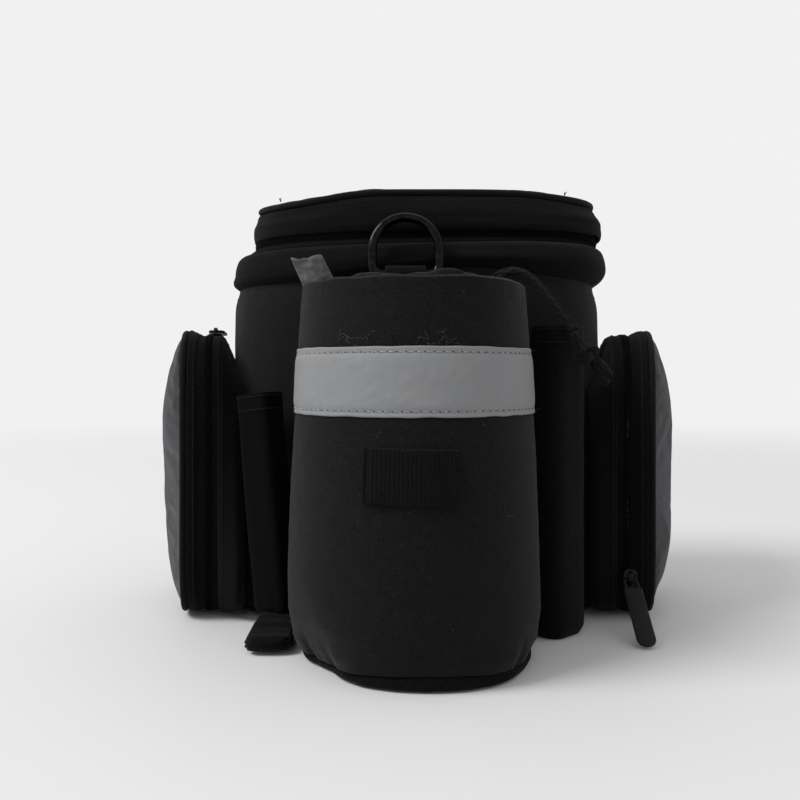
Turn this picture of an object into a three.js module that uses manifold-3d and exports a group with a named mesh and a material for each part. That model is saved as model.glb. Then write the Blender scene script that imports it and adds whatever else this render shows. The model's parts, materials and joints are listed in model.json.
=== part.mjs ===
// Treat pouch: an upright padded bag with a zip-round lid, a round drawstring sleeve sewn to its front,
// a zipped clamshell pocket on each side, a slim open pocket on each front corner and belt loops behind.
// Millimetres, +Z up, -Y is the front. The origin is on the floor under the middle of the main body.
import * as THREE from "three";
import { mergeVertices } from "three/addons/utils/BufferGeometryUtils.js";
import Module from "manifold-3d";

// Plan outlines. Each is a superellipse whose front half (-Y) and rear half (+Y) have their own
// reach from the middle and their own squareness.
const BODY = { halfX: 91, front: 60, rear: 60, frontPower: 2.8, rearPower: 6 };
const LID = { halfX: 86.7, front: 54, rear: 56, frontPower: 2.8, rearPower: 6 };
const SLEEVE = { halfX: 47, front: 48, rear: 37.2, frontPower: 2, rearPower: 5 };
const SIDE_POCKET = { halfX: 46, front: 67, rear: 67, frontPower: 5, rearPower: 5 };
const RIGHT_SLIM = { halfX: 12.5, front: 9, rear: 9, frontPower: 3, rearPower: 3 };
const LEFT_SLIM = { halfX: 10, front: 7, rear: 7, frontPower: 3, rearPower: 3 };
const RING = { halfX: 14.9, front: 11.5, rear: 14.9, frontPower: 6, rearPower: 2 };

const AXIS = Infinity; // an inset that reaches the middle of any plan
const GAP = 0.4; // clearance between neighbouring pieces
const PLAN_STEPS = 36; // straight sides round a body, lid or sleeve
const POCKET_STEPS = 28; // straight sides round a side pocket

// Main body and lid.
const BODY_TOP = 156; // seam between the body wall and the collar
const COLLAR_TOP = 174.2;
const COLLAR_SHIFT = 1.5; // the soft top leans to the right
const ZIP_Z = 178; // height of the lid zip and of the lid's hinge line
const LID_SHIFT = 5;
const LID_RIM = 196; // top edge of the lid's side band

// Front sleeve.
const SLEEVE_X = -1.5;
const SLEEVE_Y = -98;
const SLEEVE_TOP = 150;
const STRIP = { low: 98.4, high: 124, thick: 0.6, rearY: -92 };
const LOOP_PATCH = { left: -21, right: 13, low: 68, high: 87.6, thick: 1.4 };

// D-ring on its webbing tab.
const RING_WIRE = 2.1; // wire radius
const RING_BAR = { x: -5.5, y: -68, z: 158 };
const RING_LEAN = THREE.MathUtils.degToRad(8); // it rests back against the collar
const TAB_WIDTH = 18;

// Side pockets: thickness is measured outward from the plane of the zip.
const POCKET_TOE = THREE.MathUtils.degToRad(8); // the front edges turn inward
const POCKET_X = 102.4; // zip plane at the pocket's middle
const POCKET_Y = -11.4;
const POCKET_RIM = 9.6; // outer edge of the cover's gusset
const POCKET_DOME = 20; // crown of the cover
const POCKET_BACK = -17; // inner face, before the body is cut away from it
const PAD = 4.6; // thickness of the cover's padded face

// Zip sliders, measured out from the zip tape, and their pullers.
const SLIDER = { plate: 1.4, eyeLow: 1.5, eyeHigh: 3.3, out: 4 };
const SLIDER_AXIS = (SLIDER.eyeLow + SLIDER.eyeHigh) / 2; // the puller's pivot
const PULLER = { length: 40, width: 8, thick: 1.4 };
// The right slider is low on the zip's front run, and the tip of its puller rests on the floor.
const RIGHT_PULL = {
  at: [96.2, -58.6, 21],
  turn: [0, 0, -POCKET_TOE, "XYZ"],
  swing: THREE.MathUtils.degToRad(-60.5),
};
// The left slider is on the zip's top run, and its puller lies flat towards the rear.
const LEFT_PULL = {
  at: [POCKET_X, POCKET_Y + 6, 133.6],
  turn: [-Math.PI / 2, 0, Math.PI - POCKET_TOE, "ZXY"],
  swing: 0,
};
const LID_PULL_Y = 10;

// Slim open pockets on the front corners, and the folded tab under the left one.
const RIGHT_SLIM_AT = [61.4, -71, 0];
const RIGHT_SLIM_TOP = 135;
const LEFT_SLIM_AT = [-61.5, -72, 9];
const LEFT_SLIM_HEIGHT = 97;
const CORNER_TAB = { x: -62, width: 19 };

// Rear panel and belt loops.
const PANEL = { halfX: 62, low: 10, high: 150, corner: 12, pad: 4 };
const BELT_LOOP = { x: 34, width: 25, thick: 1.8, stand: 5.5, low: 56, high: 130, sewn: 8, slope: 6 };

// Drawcord: two strands side by side, from the gathered mouth to the knot.
const CORD_RADIUS = 1.5;
const KNOT = { x: 70.5, y: -85.5, z: 123.5 };
const CORD_FRONT = [
  [31.5, -77, 151],
  [34.5, -78, 154.8],
  [38.5, -79.3, 157.6],
  [43.2, -80.8, 157.8],
  [47.8, -82.2, 155],
  [52.2, -83.4, 150],
  [56.6, -84.4, 144.2],
  [61, -85.1, 138.2],
  [65, -85.6, 132.6],
];
const CORD_REAR = [
  [29, -73.6, 151],
  [32.2, -74.6, 155.2],
  [36.6, -75.8, 158.2],
  [42, -77, 159],
  [47.2, -78.7, 156.8],
  [52, -80, 152.2],
  [56.6, -81, 146.6],
  [61, -81.9, 140.8],
  [64.8, -82.8, 135.9],
  [67.6, -83.5, 132.8],
];

const FABRIC = { color: 0x1b1b1c, roughness: 0.92, metalness: 0 };
const LINING = { color: 0x2a2a2c, roughness: 0.75, metalness: 0 };
const FOAM = { color: 0x3a3a3a, roughness: 1, metalness: 0 };
const BOARD = { color: 0x222222, roughness: 0.6, metalness: 0 };
const WEBBING = { color: 0x171717, roughness: 0.85, metalness: 0 };
const PIPING = { color: 0x141414, roughness: 0.6, metalness: 0 };
const ZIP_TAPE = { color: 0x101010, roughness: 0.8, metalness: 0 };
const REFLECTIVE = { color: 0x8a8c90, roughness: 0.45, metalness: 0 };
const GUNMETAL = { color: 0x16171a, roughness: 0.25, metalness: 1 };
const RUBBER = { color: 0x1a1a19, roughness: 0.7, metalness: 0 };
const CORD = { color: 0x151515, roughness: 0.85, metalness: 0 };

const wasm = await Module();
wasm.setup();

// ---- Helpers ----

function toSolid(geometry) {
  const bare = geometry.clone();
  bare.deleteAttribute("normal");
  bare.deleteAttribute("uv");
  const merged = mergeVertices(bare, 1e-3);
  return new wasm.Manifold(
    new wasm.Mesh({
      numProp: 3,
      vertProperties: merged.attributes.position.array,
      triVerts: new Uint32Array(merged.index.array),
    }),
  );
}

function toGeometry(solid) {
  const mesh = solid.getMesh();
  const geometry = new THREE.BufferGeometry();
  geometry.setAttribute("position", new THREE.BufferAttribute(mesh.vertProperties, 3));
  geometry.setIndex(new THREE.BufferAttribute(mesh.triVerts, 1));
  return geometry;
}

function joined(...geometries) {
  return toGeometry(geometries.map(toSolid).reduce((whole, piece) => whole.add(piece)));
}

function cutBy(geometry, ...tools) {
  return toGeometry(tools.map(toSolid).reduce((whole, tool) => whole.subtract(tool), toSolid(geometry)));
}

function keptInside(geometry, block) {
  return toGeometry(toSolid(geometry).intersect(toSolid(block)));
}

// A box between two corners.
function block(low, high) {
  const size = high.map((value, i) => value - low[i]);
  const middle = high.map((value, i) => (value + low[i]) / 2);
  return new THREE.BoxGeometry(...size).translate(...middle);
}

function planReach(plan, angle) {
  const atFront = Math.sin(angle) < 0;
  const depth = atFront ? plan.front : plan.rear;
  const power = atFront ? plan.frontPower : plan.rearPower;
  const across = Math.abs(Math.cos(angle) / plan.halfX) ** power;
  const along = Math.abs(Math.sin(angle) / depth) ** power;
  return (across + along) ** (-1 / power);
}

// A profile of [inset from the plan outline, height] turned round Z and let out to the plan.
// The outer half of each radius keeps its true inset, and the inner half stretches to the middle.
function turned(plan, profile, steps = PLAN_STEPS) {
  const least = Math.min(plan.halfX, plan.front, plan.rear);
  const points = profile.map(([inset, height]) => new THREE.Vector2(Math.max(0, least - inset), height));
  const geometry = new THREE.LatheGeometry(points, steps).rotateX(Math.PI / 2);
  const position = geometry.attributes.position;
  for (let i = 0; i < position.count; i += 1) {
    const radius = Math.hypot(position.getX(i), position.getY(i));
    const angle = Math.atan2(position.getY(i), position.getX(i));
    const stretch = planReach(plan, angle) - least;
    const reach = radius + stretch * Math.min(1, (2 * radius) / least);
    position.setXY(i, reach * Math.cos(angle), reach * Math.sin(angle));
  }
  return geometry;
}

function closedRing(points) {
  return [...points, points[0]];
}

// A round section as profile points, for piping and wire.
function roundSection(radius, inset, height, sides = 6) {
  const points = [];
  for (let i = 0; i < sides; i += 1) {
    const turn = (i / sides) * 2 * Math.PI;
    points.push([inset - radius * Math.cos(turn), height + radius * Math.sin(turn)]);
  }
  return closedRing(points);
}

// A band's section: a rectangle between two insets and two heights.
function bandSection(outer, inner, low, high) {
  return closedRing([
    [outer, low],
    [outer, high],
    [inner, high],
    [inner, low],
  ]);
}

// An outline in the Y-Z plane given a width along X, centred on x.
function acrossX(outline, width, x) {
  const shape = new THREE.Shape(outline.map(([y, z]) => new THREE.Vector2(y, z)));
  const basis = new THREE.Matrix4().makeBasis(
    new THREE.Vector3(0, 1, 0),
    new THREE.Vector3(0, 0, 1),
    new THREE.Vector3(1, 0, 0),
  );
  const geometry = new THREE.ExtrudeGeometry(shape, { depth: width, bevelEnabled: false });
  return geometry.applyMatrix4(basis).translate(x - width / 2, 0, 0);
}

// A round cord or wire through a list of points.
function tube(points, radius, sides, steps) {
  const section = [];
  for (let i = 0; i < sides; i += 1) {
    const turn = (i / sides) * 2 * Math.PI;
    section.push(new THREE.Vector2(radius * Math.cos(turn), radius * Math.sin(turn)));
  }
  const route = new THREE.CatmullRomCurve3(points.map((point) => new THREE.Vector3(...point)));
  return new THREE.ExtrudeGeometry(new THREE.Shape(section), { steps, extrudePath: route });
}

function addPiece(parent, name, geometry, finish) {
  const mesh = new THREE.Mesh(geometry, new THREE.MeshStandardMaterial(finish));
  mesh.name = name;
  parent.add(mesh);
}

// The space that the body wall fills, for cutting away from what is sewn against it.
function bodyRoom() {
  return turned(BODY, [[AXIS, -5], [-1, -5], [-1, BODY_TOP + 5], [AXIS, BODY_TOP + 5]]);
}

// ---- Main body: fabric wall, foam, lining, base and the soft collar under the lid zip ----

function buildBody(bag) {
  const base = [[AXIS, 0], [7, 0], [2, 1], [1, 2.4], [1, 3], [AXIS, 3]];
  addPiece(bag, "base_panel", turned(BODY, base), FABRIC);
  addPiece(bag, "base_board", turned(BODY, [[AXIS, 3.4], [5.4, 3.4], [5.4, 5], [AXIS, 5]]), BOARD);

  const outside = [[1, 3.4], [0, 20], [-0.5, 80], [0, BODY_TOP]];
  const wall = closedRing([...outside, [2.3, BODY_TOP], [1.9, 80], [2.6, 3.4]]);
  addPiece(bag, "body_shell", turned(BODY, wall), FABRIC);
  addPiece(bag, "body_foam", turned(BODY, bandSection(3, 4.8, 3.4, BODY_TOP)), FOAM);

  const lining = [[AXIS, 5.4], [5.4, 5.4], [5.4, BODY_TOP], [6.2, BODY_TOP], [6.2, 6.2], [AXIS, 6.2]];
  addPiece(bag, "body_lining", turned(BODY, lining), LINING);

  const collar = closedRing([
    [0.8, BODY_TOP + GAP],
    [-1.2, 161],
    [-1.5, 168],
    [0.8, 172.4],
    [4.2, COLLAR_TOP],
    [6.8, COLLAR_TOP],
    [3.4, 167],
    [4.2, BODY_TOP + GAP],
  ]);
  addPiece(bag, "body_collar", turned(BODY, collar).translate(COLLAR_SHIFT, 0, 0), FABRIC);
  const tape = turned(LID, bandSection(0.6, 2, COLLAR_TOP + GAP, ZIP_Z - 0.2));
  addPiece(bag, "lid_zip_tape_lower", tape.translate(LID_SHIFT, 0, 0), ZIP_TAPE);
}

// ---- Lid: zip tape, side band, piping, top panel with foam and lining ----

function buildLid(bag) {
  const lid = new THREE.Group();
  lid.position.x = LID_SHIFT;
  bag.add(lid);
  addPiece(lid, "lid_zip_tape_upper", turned(LID, bandSection(0.6, 2, ZIP_Z + 0.2, 181)), ZIP_TAPE);
  const band = closedRing([[0, 181.4], [0.2, 186], [2, LID_RIM], [3.8, LID_RIM], [2, 186], [1.8, 181.4]]);
  addPiece(lid, "lid_side_band", turned(LID, band), FABRIC);
  addPiece(lid, "lid_piping", turned(LID, roundSection(1.5, 3.2, 198.1)), PIPING);
  const top = [[AXIS, 198], [5.2, 198], [5.2, 199.4], [14, 201], [AXIS, 202.5]];
  addPiece(lid, "lid_top_panel", turned(LID, top), FABRIC);
  addPiece(lid, "lid_foam", turned(LID, [[AXIS, 194.6], [5.2, 194.6], [5.2, 197.6], [AXIS, 197.6]]), FOAM);
  const lining = [[AXIS, 193.4], [4.4, 193.4], [4.4, 194.2], [AXIS, 194.2]];
  addPiece(lid, "lid_lining", turned(LID, lining), LINING);

  // The webbing that the lid turns on lies just outside the zip tapes, at the middle of the rear.
  const tape = [[0.7, -3.2], [2, -3.2], [2, -0.3], [0.7, -0.3]].map(([y, z]) => [LID.rear + y, ZIP_Z + z]);
  addPiece(bag, "lid_hinge_tape", acrossX(tape, 90, LID_SHIFT), WEBBING);
}

// ---- Front sleeve: base, wall, hem, gathered mouth, reflective strip and webbing loop ----

function buildSleeve(bag) {
  const sleeve = new THREE.Group();
  sleeve.position.set(SLEEVE_X, SLEEVE_Y, 0);
  bag.add(sleeve);
  const base = [[AXIS, 0], [6, 0], [1.5, 1.4], [0, 3.4], [AXIS, 3.4]];
  addPiece(sleeve, "sleeve_base", turned(SLEEVE, base), FABRIC);
  const wall = closedRing([
    [-0.4, 3.8],
    [-2.3, 20],
    [-2, 60],
    [-0.4, 98],
    [0.6, 124],
    [1.8, 142],
    [4.8, 142],
    [3.7, 124],
    [1.3, 60],
    [2.7, 3.8],
  ]);
  const room = bodyRoom().translate(-SLEEVE_X, -SLEEVE_Y, 0);
  addPiece(sleeve, "sleeve_shell", cutBy(turned(SLEEVE, wall), room), FABRIC);
  addPiece(sleeve, "sleeve_hem", turned(SLEEVE, bandSection(1.8, 4, 142.4, SLEEVE_TOP)), FABRIC);
  const mouth = closedRing([[4.6, 142.4], [4.6, 147], [10, 150.2], [10.8, 149.2], [5.6, 146], [5.6, 142.4]]);
  addPiece(sleeve, "sleeve_gathered_mouth", turned(SLEEVE, mouth), LINING);

  const strip = turned(SLEEVE, sleeveSkin(STRIP, -0.4, 0.6));
  const front = block([-60, -70, 0], [60, STRIP.rearY - SLEEVE_Y, 200]);
  addPiece(sleeve, "reflective_strip", keptInside(strip, front), REFLECTIVE);

  const patch = turned(SLEEVE, sleeveSkin(LOOP_PATCH, -1.65, -0.85));
  const window = block([LOOP_PATCH.left - SLEEVE_X, -70, 0], [LOOP_PATCH.right - SLEEVE_X, 0, 200]);
  addPiece(sleeve, "light_loop_webbing", keptInside(patch, window), WEBBING);
}

// A thin piece lying on the sleeve wall: the wall's insets at the piece's lower and upper edges.
function sleeveSkin({ low, high, thick }, lowInset, highInset) {
  return closedRing([
    [lowInset - GAP, low],
    [lowInset - GAP - thick, low],
    [highInset - GAP - thick, high],
    [highInset - GAP, high],
  ]);
}

// ---- D-ring and the webbing tab that holds it to the front wall ----

function buildRing(bag) {
  const ring = new THREE.Group();
  ring.position.set(RING_BAR.x, RING_BAR.y, RING_BAR.z);
  ring.rotation.x = -RING_LEAN;
  bag.add(ring);
  const wire = turned(RING, roundSection(RING_WIRE, 0, 0, 8), POCKET_STEPS);
  addPiece(ring, "d_ring", wire.rotateX(Math.PI / 2).translate(0, 0, RING.front), GUNMETAL);

  const { x, y, z } = RING_BAR;
  const roller = (radius, width) =>
    new THREE.CylinderGeometry(radius, radius, width, 14).rotateZ(Math.PI / 2).translate(x, y, z);
  const sewn = block([x - TAB_WIDTH / 2, y, 150.6], [x + TAB_WIDTH / 2, -60.9, 154.8]);
  const tab = cutBy(joined(roller(4.1, TAB_WIDTH), sewn), roller(2.7, TAB_WIDTH + 2));
  addPiece(bag, "d_ring_tab", tab, WEBBING);
}

// ---- Side pockets: built for the right side, and mirrored for the left ----

// Turned pocket pieces stand in the Y-Z plane, with height along the thickness, outward.
function pocketPiece(profile) {
  const basis = new THREE.Matrix4().makeBasis(
    new THREE.Vector3(0, 1, 0),
    new THREE.Vector3(0, 0, 1),
    new THREE.Vector3(1, 0, 0),
  );
  return turned(SIDE_POCKET, profile, POCKET_STEPS).applyMatrix4(basis).translate(0, 0, SIDE_POCKET.front);
}

function pocketPlace() {
  return new THREE.Matrix4().makeTranslation(POCKET_X, POCKET_Y, 0).multiply(
    new THREE.Matrix4().makeRotationZ(-POCKET_TOE),
  );
}

function buildSidePocket(bag, name, side, pullPlace) {
  const mirror = new THREE.Group();
  mirror.scale.x = side;
  bag.add(mirror);
  buildInnerHalf(mirror, name);
  buildCover(mirror, name);

  const pull = new THREE.Group();
  pull.position.set(...pullPlace.at);
  pull.rotation.set(...pullPlace.turn);
  mirror.add(pull);
  addPull(pull, name, pullPlace.swing);
}

function buildInnerHalf(pocket, name) {
  const place = pocketPlace();

  const tray = [
    [AXIS, POCKET_BACK],
    [3, POCKET_BACK],
    [0, POCKET_BACK + 4],
    [0, -4.8],
    [2.2, -4.8],
    [2.2, POCKET_BACK + 2.2],
    [AXIS, POCKET_BACK + 2.2],
  ];
  addPiece(pocket, `${name}_inner_half`, cutBy(pocketPiece(tray).applyMatrix4(place), bodyRoom()), FABRIC);
  const tape = pocketPiece(bandSection(0.8, 2.2, -4.4, -0.4));
  addPiece(pocket, `${name}_zip_tape_inner`, tape.applyMatrix4(place), ZIP_TAPE);
}

function buildCover(pocket, name) {
  const place = pocketPlace();
  const tape = pocketPiece(bandSection(0.8, 2.2, 0.4, 4.4));
  addPiece(pocket, `${name}_zip_tape_outer`, tape.applyMatrix4(place), ZIP_TAPE);
  const cover = [
    [AXIS, POCKET_DOME - PAD],
    [28, POCKET_DOME - PAD - 0.7],
    [12, 12.6],
    [5.4, 10.6],
    [5.4, 7.4],
    [2.8, 7.4],
    [2.8, 4.8],
    [0.6, 4.8],
    [0.6, POCKET_RIM],
    [3.4, POCKET_RIM],
    [3.4, 13],
    [12, 16.6],
    [28, POCKET_DOME - 0.7],
    [AXIS, POCKET_DOME],
  ];
  addPiece(pocket, `${name}_cover`, pocketPiece(cover).applyMatrix4(place), FABRIC);
  const piping = pocketPiece(roundSection(1.3, 1.7, POCKET_RIM + 1.7));
  addPiece(pocket, `${name}_piping`, piping.applyMatrix4(place), PIPING);
}

// ---- Zip slider and puller, made facing -Y with the zip running along Z ----

function sliderGeometry() {
  const plate = block([-3.7, -SLIDER.plate, -5], [3.7, 0, 5]);
  const arch = block([-1, -SLIDER.out, -3.4], [1, -SLIDER.plate + 0.1, 3.4]);
  const eye = block([-2, -SLIDER.eyeHigh, -2.2], [2, -SLIDER.eyeLow, 2.2]);
  return joined(plate, cutBy(arch, eye));
}

// A flat rubber puller whose crossbar lies on the pivot and whose blade hangs down from it.
function pullerGeometry() {
  const { length, width, thick } = PULLER;
  const half = width / 2;
  const outline = new THREE.Shape();
  outline.moveTo(-half + 1, 0.5);
  outline.lineTo(half - 1, 0.5);
  outline.lineTo(half, -6);
  outline.lineTo(half, half - length);
  outline.absarc(0, half - length, half, 0, -Math.PI, true);
  outline.lineTo(-half, -6);
  outline.closePath();
  const hole = new THREE.Path();
  hole.moveTo(-1.7, -0.5);
  hole.lineTo(-1.7, -5.6);
  hole.lineTo(1.7, -5.6);
  hole.lineTo(1.7, -0.5);
  hole.closePath();
  outline.holes.push(hole);
  const options = { depth: thick, bevelEnabled: false, curveSegments: 6 };
  return new THREE.ExtrudeGeometry(outline, options).translate(0, 0, -thick / 2).rotateX(Math.PI / 2);
}

// A slider, and its puller swung outward about the pivot.
function addPull(pull, name, swing) {
  addPiece(pull, `${name}_slider`, sliderGeometry(), GUNMETAL);
  const puller = new THREE.Group();
  puller.position.y = -SLIDER_AXIS;
  puller.rotation.x = swing;
  pull.add(puller);
  addPiece(puller, `${name}_puller`, pullerGeometry(), RUBBER);
}

// ---- Slim open pockets on the two front corners, and the folded tab under the left one ----

function slimCup(plan, top, wall) {
  const outside = [[AXIS, 0], [2.4, 0], [0, 3.5], [0.4, top]];
  const inside = [[0.4 + wall, top], [wall, 3.5], [wall + 1, wall], [AXIS, wall]];
  return turned(plan, [...outside, ...inside], 20);
}

function buildSlimPockets(bag) {
  const right = new THREE.Group();
  right.position.set(...RIGHT_SLIM_AT);
  right.rotation.z = THREE.MathUtils.degToRad(45);
  bag.add(right);
  addPiece(right, "right_slim_pocket", slimCup(RIGHT_SLIM, RIGHT_SLIM_TOP, 1.6), FABRIC);

  const left = new THREE.Group();
  left.position.set(...LEFT_SLIM_AT);
  left.rotation.order = "YXZ";
  left.rotation.y = THREE.MathUtils.degToRad(-5.5);
  left.rotation.x = THREE.MathUtils.degToRad(-3.5);
  left.rotation.z = THREE.MathUtils.degToRad(-25);
  bag.add(left);
  addPiece(left, "left_slim_pocket", slimCup(LEFT_SLIM, LEFT_SLIM_HEIGHT, 1.4), FABRIC);

  const fold = [[-101, 1.6], [-99.4, 0], [-78, 0], [-78, 2], [-97.5, 2.4], [-98, 6], [-78, 6.4], [-78, 8.4]];
  const tab = acrossX([...fold, [-99, 8.2], [-101, 6.4]], CORNER_TAB.width, CORNER_TAB.x);
  addPiece(bag, "left_corner_tab", tab, WEBBING);
}

// ---- Rear: padded panel and two upright webbing loops for a belt ----

function buildRear(bag) {
  const face = BODY.rear + 0.5 + GAP;
  const { halfX, low, high, corner, pad } = PANEL;
  const side = halfX - corner;
  const bottom = low + corner;
  const top = high - corner;
  const outline = new THREE.Shape();
  outline.moveTo(-side, low);
  outline.absarc(side, bottom, corner, -Math.PI / 2, 0, false);
  outline.absarc(side, top, corner, 0, Math.PI / 2, false);
  outline.absarc(-side, top, corner, Math.PI / 2, Math.PI, false);
  outline.absarc(-side, bottom, corner, Math.PI, 1.5 * Math.PI, false);
  const options = { depth: pad, bevelEnabled: false, curveSegments: 4 };
  const panel = new THREE.ExtrudeGeometry(outline, options).rotateX(Math.PI / 2).translate(0, face + pad, 0);
  addPiece(bag, "rear_panel", panel, FABRIC);

  const loop = beltLoopOutline(face + pad + GAP);
  for (const [name, x] of [["belt_loop_left", -BELT_LOOP.x], ["belt_loop_right", BELT_LOOP.x]]) {
    addPiece(bag, name, acrossX(loop, BELT_LOOP.width, x), WEBBING);
  }
}

// A belt loop from the side: webbing sewn down at both ends that stands off in between.
function beltLoopOutline(back) {
  const { thick, stand, low, high, sewn, slope } = BELT_LOOP;
  const out = back + stand;
  return [
    [back, low],
    [back + thick, low],
    [back + thick, low + sewn],
    [out + thick, low + sewn + slope],
    [out + thick, high - sewn - slope],
    [back + thick, high - sewn],
    [back + thick, high],
    [back, high],
    [back, high - sewn - 1],
    [out, high - sewn - slope - 1],
    [out, low + sewn + slope + 1],
    [back, low + sewn + 1],
  ];
}

// ---- Lid zip slider on the right-hand side of the bag ----

function buildLidPull(bag) {
  const pull = new THREE.Group();
  pull.position.set(LID.halfX + LID_SHIFT + 1.2, LID_PULL_Y, ZIP_Z);
  const facing = new THREE.Matrix4().makeBasis(
    new THREE.Vector3(0, 0, 1),
    new THREE.Vector3(-1, 0, 0),
    new THREE.Vector3(0, -1, 0),
  );
  pull.quaternion.setFromRotationMatrix(facing);
  bag.add(pull);
  addPull(pull, "lid", 0);
}

// ---- Drawcord: two strands, and the overhand knot that ties their ends together ----

function buildCord(bag) {
  addPiece(bag, "drawcord_front_strand", tube(CORD_FRONT, CORD_RADIUS, 8, 14), CORD);
  addPiece(bag, "drawcord_rear_strand", tube(CORD_REAR, CORD_RADIUS, 8, 14), CORD);
  const { x, y, z } = KNOT;
  const ball = new THREE.SphereGeometry(1, 14, 8).scale(6, 5.4, 7).rotateY(-0.6).translate(x, y, z);
  const ends = [[1.8, 0.4], [-1.4, -0.4]].map(([shift, forward]) =>
    tube(
      [
        [x + shift, y - forward, z - 1],
        [x + 5 + shift, y - 0.6 - forward, z - 7 + shift],
        [x + 9 + shift, y - 1 - forward, z - 11.5 + shift],
      ],
      CORD_RADIUS,
      8,
      5,
    ),
  );
  addPiece(bag, "drawcord_knot", joined(ball, ...ends), CORD);
}

// ---- Assembly ----

const bag = new THREE.Group();
buildBody(bag);
buildLid(bag);
buildSleeve(bag);
buildRing(bag);
buildSidePocket(bag, "right_pocket", 1, RIGHT_PULL);
buildSidePocket(bag, "left_pocket", -1, LEFT_PULL);
buildSlimPockets(bag);
buildRear(bag);
buildLidPull(bag);
buildCord(bag);

export default bag;
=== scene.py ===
# Treat pouch: the finished look of the bag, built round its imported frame.
# Lengths are in millimetres until a mesh is made, in the frame's axes: +X right, +Y rear, +Z up.
import json
import math

import bmesh
import bpy
from mathutils import Matrix, Vector, noise


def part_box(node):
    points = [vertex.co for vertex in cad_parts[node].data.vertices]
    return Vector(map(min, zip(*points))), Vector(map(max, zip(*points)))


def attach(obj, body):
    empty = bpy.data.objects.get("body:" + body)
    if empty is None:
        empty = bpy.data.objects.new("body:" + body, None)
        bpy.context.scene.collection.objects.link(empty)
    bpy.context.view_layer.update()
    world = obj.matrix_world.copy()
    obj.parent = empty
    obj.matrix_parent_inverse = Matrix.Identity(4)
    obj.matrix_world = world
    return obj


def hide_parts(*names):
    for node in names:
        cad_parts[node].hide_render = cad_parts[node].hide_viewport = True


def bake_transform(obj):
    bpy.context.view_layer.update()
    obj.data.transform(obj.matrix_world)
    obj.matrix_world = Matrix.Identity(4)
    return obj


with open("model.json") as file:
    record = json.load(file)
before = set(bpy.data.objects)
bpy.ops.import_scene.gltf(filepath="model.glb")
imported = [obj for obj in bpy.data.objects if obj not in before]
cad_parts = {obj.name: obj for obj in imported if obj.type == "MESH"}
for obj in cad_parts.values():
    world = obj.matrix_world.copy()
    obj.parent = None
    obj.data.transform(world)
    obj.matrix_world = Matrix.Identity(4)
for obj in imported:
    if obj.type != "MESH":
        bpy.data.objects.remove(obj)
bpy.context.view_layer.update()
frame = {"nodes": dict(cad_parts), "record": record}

MM = 0.001
TURN = 2 * math.pi
AXIS = 1000.0  # an inset that reaches the middle of any plan
RIGHT, FRONT, REAR, UP = Vector((1, 0, 0)), Vector((0, -1, 0)), Vector((0, 1, 0)), Vector((0, 0, 1))
BODY_OF = {node: body for body, nodes in frame["record"]["behaviour"]["bodies"].items() for node in nodes}
JOINTS = {joint["name"]: joint for joint in frame["record"]["behaviour"]["joints"]}


def box(node):
    """A CAD node's lowest and highest corners, in millimetres."""
    low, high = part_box(node)
    return low / MM, high / MM


# ---- Small maths ----


def lerp(a, b, t):
    return a + (b - a) * t


def smoothstep(low, high, x):
    t = min(1.0, max(0.0, (x - low) / (high - low)))
    return t * t * (3 - 2 * t)


def hill(x, centre, width):
    """A soft hill, 1 at its centre."""
    return math.exp(-(((x - centre) / width) ** 2))


def wobble(point, size, seed):
    """Smooth noise from -1 to 1 on a point, with features of about that size."""
    return noise.noise(Vector(point) / size + Vector((seed * 17.3, seed * 5.1, seed * 9.7)))


def angle_gap(a, b):
    """The signed turn from b to a, within half a turn."""
    return (a - b + math.pi) % TURN - math.pi


def ring_angles(sides):
    """Evenly spaced angles of one turn."""
    return [TURN * k / sides for k in range(sides)]


def turns_between(start, stop, count):
    """Evenly spaced angles with both ends."""
    return [lerp(start, stop, k / count) for k in range(count + 1)]


def smooth_table(pairs):
    """A smooth function through (x, y) pairs, flat beyond the ends."""
    xs, ys = zip(*pairs)
    last = len(xs) - 1

    def slope(i):
        low, high = max(0, i - 1), min(last, i + 1)
        return (ys[high] - ys[low]) / (xs[high] - xs[low])

    def value(x):
        if x <= xs[0]:
            return ys[0]
        if x >= xs[-1]:
            return ys[-1]
        i = next(k for k in range(last) if x <= xs[k + 1])
        width = xs[i + 1] - xs[i]
        t = (x - xs[i]) / width
        lift = (2 * t**3 - 3 * t**2 + 1) * ys[i] + (3 * t**2 - 2 * t**3) * ys[i + 1]
        return lift + (t**3 - 2 * t**2 + t) * width * slope(i) + (t**3 - t**2) * width * slope(i + 1)

    return value


def curve_through(points, spacing):
    """Evenly spaced points on a smooth curve through the given points."""
    points = [Vector(p) for p in points]
    ends = [2 * points[0] - points[1], *points, 2 * points[-1] - points[-2]]
    dense = []
    for a, b, c, d in zip(ends, ends[1:], ends[2:], ends[3:]):
        steps = max(4, int((c - b).length / spacing * 4))
        for k in range(steps):
            t = k / steps
            even = 2 * b + (c - a) * t
            dense.append((even + (2 * a - 5 * b + 4 * c - d) * t**2 + (3 * b - a - 3 * c + d) * t**3) / 2)
    return evenly([*dense, points[-1]], spacing)


def evenly(points, spacing):
    """Points at equal distances along a dense polyline, with both ends kept."""
    lengths = [0.0]
    for a, b in zip(points, points[1:]):
        lengths.append(lengths[-1] + (b - a).length)
    count = max(1, round(lengths[-1] / spacing))
    result, i = [], 0
    for k in range(count + 1):
        target = lengths[-1] * k / count
        while i < len(points) - 2 and lengths[i + 1] < target:
            i += 1
        span = lengths[i + 1] - lengths[i]
        result.append(points[i].lerp(points[i + 1], (target - lengths[i]) / span if span else 0.0))
    return result


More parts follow.
